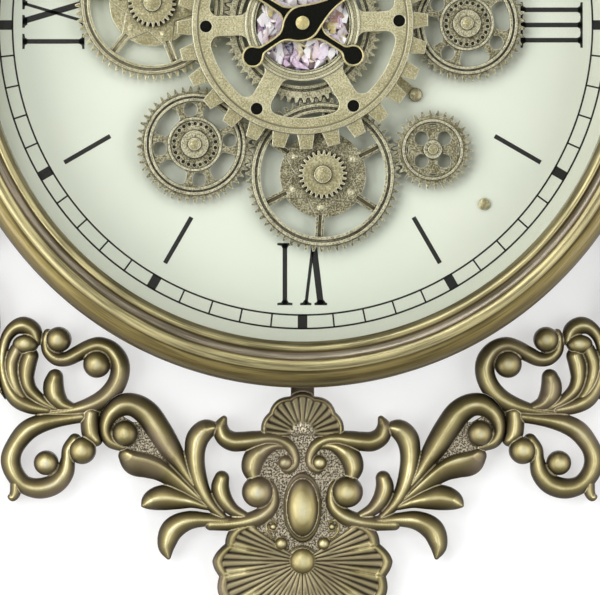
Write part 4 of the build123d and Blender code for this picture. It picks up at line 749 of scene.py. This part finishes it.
def arc(a, b, c, steps):
    """Points on the circle from a through b to c, without a."""
    (ax, ay), (bx, by), (cx, cy) = a, b, c
    d = 2 * (ax * (by - cy) + bx * (cy - ay) + cx * (ay - by))
    p, q, r = ax * ax + ay * ay, bx * bx + by * by, cx * cx + cy * cy
    ox = (p * (by - cy) + q * (cy - ay) + r * (ay - by)) / d
    oy = (p * (cx - bx) + q * (ax - cx) + r * (bx - ax)) / d
    start, middle, end = (np.arctan2(v - oy, u - ox) for u, v in (a, b, c))
    turn = (end - start) % (2 * pi)
    if (middle - start) % (2 * pi) > turn:
        turn -= 2 * pi
    reach = sqrt((ax - ox) ** 2 + (ay - oy) ** 2)
    return [(ox + reach * cos(start + turn * i / steps), oy + reach * sin(start + turn * i / steps))
            for i in range(1, steps + 1)]


def turned_piece(name, profile, segments, material, body):
    """Ring turned from a closed profile of (radius, depth) points, in place of the node of that name."""
    coords, faces, count = [], [], len(profile)
    for k in range(segments):
        angle = 2 * pi * k / segments
        coords += [(r * cos(angle), -depth, r * sin(angle)) for r, depth in profile]
        ahead = (k + 1) % segments
        for i in range(count):
            j = (i + 1) % count
            faces.append((k * count + i, k * count + j, ahead * count + j, ahead * count + i))
    add_piece(name + "_turned", coords, faces, material, body, (name,), smooth_below=32)


bezel_segments = 480
bezel_profile = [(158, 49.5), (158, 51.5), (160, 53.5)]
for past, stop, steps in (((161.5, 54.7), (163, 53.5), 10), ((165, 52.17), (167, 53.5), 10),
                          ((169.75, 57.5), (172.5, 53.5), 16), ((178.45, 51.1), (181, 45.5), 14)):
    bezel_profile += arc(bezel_profile[-1], past, stop, steps)
bezel_profile += [(181, 5), (179, 5), (179, 46.5), (165.5, 46.5), (165.5, 49.5)]
turned_piece("bezel", bezel_profile, bezel_segments, looks["bezel_brass"], "case")


# Hands

def hand_piece(name, halves, bore, angle, back, body):
    """Hand from (along, half width) points: a black face inside a raised rim in bright brass, a painted
    highlight along its edges, in place of its node.
    """
    thick, rim_width, rim_rise, face_drop, edge_drop, spacing = 1.0, 0.9, 0.15, 0.15, 0.3, 0.5
    curve = smooth([(u, v, 0) for u, v in halves], 10)
    us = []
    for a, b in zip(curve[:-1, 0], curve[1:, 0]):
        us += list(np.linspace(a, b, max(2, int((b - a) / spacing) + 1))[:-1])
    us = np.unique(np.concatenate([us, [curve[-1, 0]], bore * np.sin(np.linspace(-pi / 2, pi / 2, 25))]))
    outer = np.maximum(np.interp(us, curve[:, 0], curve[:, 1]), 0)

    def drawn_in(by):
        reach = np.linspace(-by, by, 41)
        near = np.interp(us[:, None] + reach, curve[:, 0], np.maximum(curve[:, 1], 0), 0, 0)
        return np.maximum((near - np.sqrt(by * by - reach ** 2)).min(1), 0)

    hole = np.sqrt(np.maximum(bore ** 2 - us ** 2, 0))
    face, crest = np.maximum(drawn_in(rim_width), hole), np.maximum(drawn_in(0.45 * rim_width), hole)
    front = back + thick
    section = [(hole, front - face_drop), (face, front - face_drop), (crest, front + rim_rise),
               (outer, front - edge_drop), (outer, back), (hole, back)]
    rim_rows = (1, 2, 3)
    turn = radians(90 - angle)
    coords, faces, kinds = [], [], []
    for side in (1, -1):
        first, rows = len(coords), len(section)
        for v, depth in section:
            for u, w in zip(us, side * v):
                coords.append((u * cos(turn) - w * sin(turn), -depth, u * sin(turn) + w * cos(turn)))
        for k in range(rows):
            for i in range(len(us) - 1):
                a, b = first + k * len(us) + i, first + (k + 1) % rows * len(us) + i
                quad = (a, a + 1, b + 1, b)
                faces.append(quad if side > 0 else tuple(reversed(quad)))
                kinds.append(int(k in rim_rows))
    piece = add_piece(name + "_rimmed", coords, faces, looks["black_paint"], body, (name,))
    # The rim takes the bright brass: a painted highlight along the hand's edges.
    piece.data.materials.append(bright_brass)
    mesh = bmesh.new()
    mesh.from_mesh(piece.data)
    for made, kind in zip(mesh.faces, kinds):
        made.material_index = kind
    bmesh.ops.remove_doubles(mesh, verts=mesh.verts, dist=1e-7)
    bmesh.ops.dissolve_degenerate(mesh, edges=mesh.edges, dist=1e-7)
    bmesh.ops.delete(mesh, geom=[e for e in mesh.edges if not e.link_faces], context="EDGES")
    mesh.to_mesh(piece.data)
    mesh.free()


tail = [(-35.3, 0.0), (-34.7, 2.5), (-32.8, 4.5), (-29.8, 5.5), (-26.8, 4.5), (-24.6, 2.5), (-22.5, 2.05),
        (-14.5, 2.1)]
minute_blade = [(-11.0, 3.2), (-7.0, 6.6), (-2.5, 8.7), (2.0, 8.7), (7.0, 6.7), (12.0, 4.7), (18.0, 3.1),
                (26.0, 2.6), (38.0, 2.65), (52.0, 4.2), (66.0, 6.0), (80.0, 6.4), (96.0, 5.2), (112.0, 2.9),
                (124.0, 0.8), (128.0, 0.0)]
hour_blade = [(-11.0, 3.0), (-6.5, 6.0), (-2.0, 7.4), (2.0, 7.4), (6.5, 6.0), (11.0, 3.0), (15.0, 2.2),
              (26.0, 2.2), (36.0, 3.9), (46.0, 6.1), (55.0, 7.0), (66.0, 5.9), (78.0, 2.8), (85.0, 0.8),
              (88.0, 0.0)]
hand_piece("minute_hand", tail + minute_blade, bore=1.25, angle=56.0, back=41.2, body="minute")
hand_piece("hour_hand", tail + hour_blade, bore=2.6, angle=302.4, back=39.0, body="hour")


# Castings, from the strokes above

def grid(low, high, step):
    return np.linspace(low, high, int(round((high - low) / step)) + 1)


cartouche = Relief(grid(-104, 104, casting_grid), grid(-316.2, -171, casting_grid), fold_x=True)
cartouche.block(-5.5, 5.5, -196, -174.6, strap_depth)
for points in branch_grounds + middle_grounds:
    cartouche.stroke(points, low=True)
cartouche.shell(0, -205.1, radius=21.3, lobes=5, span=190, heading=90, flutes=3, hub=6.5)
cartouche.shell(0, -269.1, radius=45.5, lobes=11, span=250, heading=-90, flutes=4, looped=True)
for points in branch_strokes + curl_strokes:
    cartouche.stroke(points, lean=0.5 if points is leaning_leaf else 0.0)
for ball in branch_balls:
    cartouche.ball(*ball)
cartouche.oval(-242.1, 9.8, 17.8)
cartouche.oval(-269.1, 8.0, 8.0)
cartouche.pieces([("lower_cartouche", 1, 1), ("upper_cartouche", 1, -1)])


def lay_corner(relief):
    for points in corner_grounds:
        relief.stroke(points, low=True, stippled=False)
    for points in corner_strokes:
        relief.stroke(points)
    for ball in corner_balls:
        relief.ball(*ball)


corner = Relief(grid(-156, -85, casting_grid), grid(-240, -144, casting_grid))
lay_corner(corner)
branch = Relief(corner.xs, corner.zs)
branch.stroke(branch_strokes[0])
branch.ball(*branch_balls[0])
corner.pieces([("lower_left_scroll", 1, 1), ("lower_right_scroll", -1, 1), ("upper_left_scroll", 1, -1),
               ("upper_right_scroll", -1, -1)], branch.room)

side = Relief(grid(-218, -146, side_grid), grid(-190, 190, side_grid), fold_z=True)
side.shell(-196.0, 0, radius=20.0, lobes=5, span=200, heading=180, flutes=3, hub=5.0)
for points in side_strokes:
    side.stroke(points)
for ball in side_balls:
    side.ball(*ball)
corners = Relief(side.xs, side.zs, fold_z=True)
lay_corner(corners)
side.pieces([("left_side_scroll", 1, 1), ("right_side_scroll", -1, 1)], corners.room)


# Dial print

ink_depth = dial_front + 0.02
ink_thick = 0.06
letter_low, letter_high = 109.0, 140.1
stem_half, thick_half, thin_half, serif = 1.15, 1.6, 0.8, 1.1
v_spread, x_spread = 3.75, 4.6
baton_half, baton_low, baton_high = 1.12, 111, 137.5
track_low, track_high, track_line_half, track_steps = 145.0, 151.8, 0.45, 240
five_minute_half, minute_half = 2.4, 0.42

print_points, print_faces = [], []


def printed(outline):
    """A flat printed shape, from (x, z) points that run anticlockwise."""
    first = len(print_points)
    print_points.extend((x, -ink_depth, z) for x, z in outline)
    print_faces.append(tuple(range(first, first + len(outline))))


def on_dial(radius, angle):
    """Point at a clock angle, clockwise from the top in degrees."""
    return radius * sin(radians(angle)), radius * cos(radians(angle))


def ring(radius):
    """Thin line of the minute track."""
    inner, outer = radius - track_line_half, radius + track_line_half
    angles = np.linspace(0, 360, track_steps + 1)
    for a, b in zip(angles, angles[1:]):
        printed([on_dial(inner, a), on_dial(inner, b), on_dial(outer, b), on_dial(outer, a)][::-1])


def letter_frame(hour):
    """Places (across, outward) points of a mark at an hour."""
    angle = radians(30 * hour)
    right, up = (cos(angle), -sin(angle)), (sin(angle), cos(angle))
    return lambda u, v: (u * right[0] + v * up[0], u * right[1] + v * up[1])


def slab(place, u, half, foot, low, outward):
    """Slab serif with a bracket into its stem."""
    v0, v1, v2 = low, low + outward * serif, low + outward * 2.6
    bend, neck = half + 0.7, v1 + outward * 0.3
    points = [(u - foot, v0), (u + foot, v0), (u + foot, v1), (u + bend, neck), (u + half, v2),
              (u - half, v2), (u - bend, neck), (u - foot, v1)]
    printed([place(a, b) for a, b in points[::outward]])


def stem(place, u0, u1, half):
    """Stem from the foot to the head of a letter, upright or slanted."""
    printed([place(u0 - half, letter_low), place(u0 + half, letter_low), place(u1 + half, letter_high),
             place(u1 - half, letter_high)])


def letter(place, kind, u):
    if kind == "I":
        stem(place, u, u, stem_half)
        slab(place, u, stem_half, 3.8, letter_low, 1)
        slab(place, u, stem_half, 3.8, letter_high, -1)
    elif kind == "V":
        stem(place, u, u - v_spread, thick_half)
        stem(place, u, u + v_spread, thin_half)
        slab(place, u - v_spread, thick_half, 3.2, letter_high, -1)
        slab(place, u + v_spread, thin_half, 2.8, letter_high, -1)
    else:
        stem(place, u + x_spread, u - x_spread, thick_half)
        stem(place, u - x_spread, u + x_spread, thin_half)
        for side_u, half in ((-x_spread, thick_half), (x_spread, thin_half)):
            slab(place, u + side_u, half, 3.2, letter_high, -1)
            slab(place, u - side_u, half, 3.2, letter_low, 1)


def bar(hour, half, low, high):
    place = letter_frame(hour)
    printed([place(-half, low), place(half, low), place(half, high), place(-half, high)])


numerals = {12: (("X", -9.6), ("I", 3.6), ("I", 11.2)), 3: (("I", -7.6), ("I", 0), ("I", 7.6)),
            6: (("V", -5.4), ("I", 8.8)), 9: (("I", -8.2), ("X", 6.4))}
for hour, letters in numerals.items():
    for kind, u in letters:
        letter(letter_frame(hour), kind, u)
for hour in range(1, 13):
    if hour not in numerals:
        bar(hour, baton_half, baton_low, baton_high)
ring(track_low)
ring(track_high)
for minute in range(60):
    bar(minute / 5, minute_half if minute % 5 else five_minute_half, track_low, track_high)
ink = add_piece("dial_print", print_points, print_faces, dial_ink, "case")
thick = ink.modifiers.new("ink", "SOLIDIFY")
thick.thickness = ink_thick * MM
thick.offset = 0


# Crystal chips in the tray

chip_count, under_count, chip_corners = 190, 80, 9
chip_ring, tray_ring = (9.0, 22.4), (8.3, 23.2)
under_layer, upper_layer, tray_depths = (33.4, 34.6), (34.8, 36.4), (32.4, 37.6)
chip_sizes, chip_shape, chip_half_depth = (2.8, 6.8), (1.25, 0.8, 0.5), 1.6
random.seed(7)
tints = [(222, 206, 222), (236, 231, 232), (200, 170, 194), (226, 204, 206), (178, 146, 176), (242, 240, 238),
         (146, 112, 136), (62, 60, 100), (200, 184, 116), (178, 140, 120)]
weights = [18, 30, 10, 18, 6, 22, 5, 4, 7, 5]
chips = bmesh.new()
tint_layer = chips.verts.layers.float_color.new("tint")
for i in range(chip_count):
    radius = sqrt(random.uniform(chip_ring[0] ** 2, chip_ring[1] ** 2))
    angle = random.uniform(0, 2 * pi)
    size = random.uniform(*chip_sizes)
    depth = random.uniform(*(under_layer if i < under_count else upper_layer))
    spin = Euler([random.uniform(0, 2 * pi) for k in range(3)]).to_matrix()
    colour = srgb(*random.choices(tints, weights)[0])
    corner_verts = []
    for k in range(chip_corners):
        way = Vector([random.gauss(0, 1) for m in range(3)]).normalized()
        local = spin @ Vector([w * size * share for w, share in zip(way, chip_shape)])
        local.y = max(min(local.y, chip_half_depth), -chip_half_depth)
        at = Vector((radius * cos(angle), -depth, radius * sin(angle))) + local
        out = sqrt(at.x ** 2 + at.z ** 2)
        held = min(max(out, tray_ring[0]), tray_ring[1]) / out
        at.x, at.z = at.x * held, at.z * held
        at.y = max(min(at.y, -tray_depths[0]), -tray_depths[1])
        vert = chips.verts.new(at * MM)
        vert[tint_layer] = colour
        corner_verts.append(vert)
    made = bmesh.ops.convex_hull(chips, input=corner_verts)
    spare = {g for g in made["geom_interior"] + made["geom_unused"] if isinstance(g, bmesh.types.BMVert)}
    bmesh.ops.delete(chips, geom=list(spare), context="VERTS")
chip_mesh = bpy.data.meshes.new("crystal_chips")
chips.to_mesh(chip_mesh)
chips.free()
chip_mesh.materials.append(crystal)
chip_piece = new_object("crystal_chips", chip_mesh)
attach(chip_piece, "centre_wheel")
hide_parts("crystal_bed")


# Wall, lamps and camera

def stage_wall():
    """White wall with some glow of its own for what looks at it, open from behind and to the lamp there."""
    half, gap, glow_share = 6.0, 0.0006, 0.46
    mesh = bpy.data.meshes.new("wall")
    corners = [(-half, gap, -half), (half, gap, -half), (half, gap, half), (-half, gap, half)]
    mesh.from_pydata(corners, [], [(0, 1, 2, 3)])
    wall = new_object("wall", mesh)
    mat = bpy.data.materials.new("wall_paint")
    mat.use_nodes = True
    tree = mat.node_tree
    tree.nodes.clear()

    def math(operation, a, b):
        return new_node(tree, "ShaderNodeMath", {0: a, 1: b}, operation=operation).outputs[0]

    def blend(share, a, b):
        return new_node(tree, "ShaderNodeMixShader", {0: share, 1: a, 2: b}).outputs[0]

    paint = new_node(tree, "ShaderNodeBsdfDiffuse", {"Color": (0.9, 0.9, 0.9, 1)}).outputs[0]
    glow = new_node(tree, "ShaderNodeEmission", {"Strength": 1.17}).outputs[0]
    clear = new_node(tree, "ShaderNodeBsdfTransparent").outputs[0]
    ray = new_node(tree, "ShaderNodeLightPath").outputs
    from_behind = new_node(tree, "ShaderNodeNewGeometry").outputs["Backfacing"]
    looking = math("MAXIMUM", ray["Is Camera Ray"], ray["Is Transmission Ray"])
    looking = math("MAXIMUM", looking, ray["Is Glossy Ray"])
    lit = blend(math("MULTIPLY", looking, glow_share), paint, glow)
    shown = blend(math("MAXIMUM", from_behind, ray["Is Shadow Ray"]), lit, clear)
    new_node(tree, "ShaderNodeOutputMaterial", {"Surface": shown})
    mesh.materials.append(mat)


def lamp(name, place, target, size, power, tall=None):
    data = bpy.data.lights.new(name, "AREA")
    data.shape = "RECTANGLE"
    data.size = size
    data.size_y = tall or size
    data.energy = power
    thing = new_object(name, data)
    thing.location = place
    thing.rotation_euler = (Vector(target) - Vector(place)).to_track_quat("-Z", "Y").to_euler()


stage_wall()
lamp("key", (-0.8, -1.95, 0.7), (0, 0, -0.12), size=0.9, power=10)
lamp("top", (-0.5, -1.25, 1.45), (0, 0, -0.15), size=0.7, power=10)
lamp("left", (-1.9, -1.4, -0.3), (0, 0, -0.1), size=1.1, power=33, tall=2.6)
lamp("right", (1.9, -1.4, -0.3), (0, 0, -0.1), size=1.1, power=18, tall=2.6)
lamp("behind", (0.9, 1.9, 0.9), (0, 0, -0.05), size=1.4, power=60)

# The room is bright to the left and right, and a little brighter below than above.
world = bpy.data.worlds.new("studio")
world.use_nodes = True
scene.world = world
tree = world.node_tree
where = new_node(tree, "ShaderNodeTexCoord").outputs["Generated"]
axes = new_node(tree, "ShaderNodeSeparateXYZ", {0: where}).outputs
sideways = new_node(tree, "ShaderNodeMath", {0: axes["X"]}, operation="ABSOLUTE").outputs[0]
sides = smooth_step(tree, sideways, 0.35, 0.95, 0.0, 1.3)
upright = smooth_step(tree, axes["Z"], -0.3, 0.45, 0.27, 0.14)
total = new_node(tree, "ShaderNodeMath", {0: sides, 1: upright}, operation="ADD").outputs[0]
background = tree.nodes["Background"]
put(tree, background.inputs["Strength"], total)
put(tree, background.inputs["Color"], (1.0, 1.0, 1.0, 1.0))

view_distance, view_width = 2300.0, 300.0
view_x, view_z = -1.25, -136.25
camera = bpy.data.cameras.new("camera")
camera.sensor_width = 36.0
camera.lens = camera.sensor_width * view_distance / view_width
camera.clip_end = 50.0
view = new_object("camera", camera)
view.location = (view_x * MM, -(dial_front + view_distance) * MM, view_z * MM)
view.rotation_euler = (radians(90), 0, 0)
scene.camera = view
scene.view_settings.view_transform = "Standard"
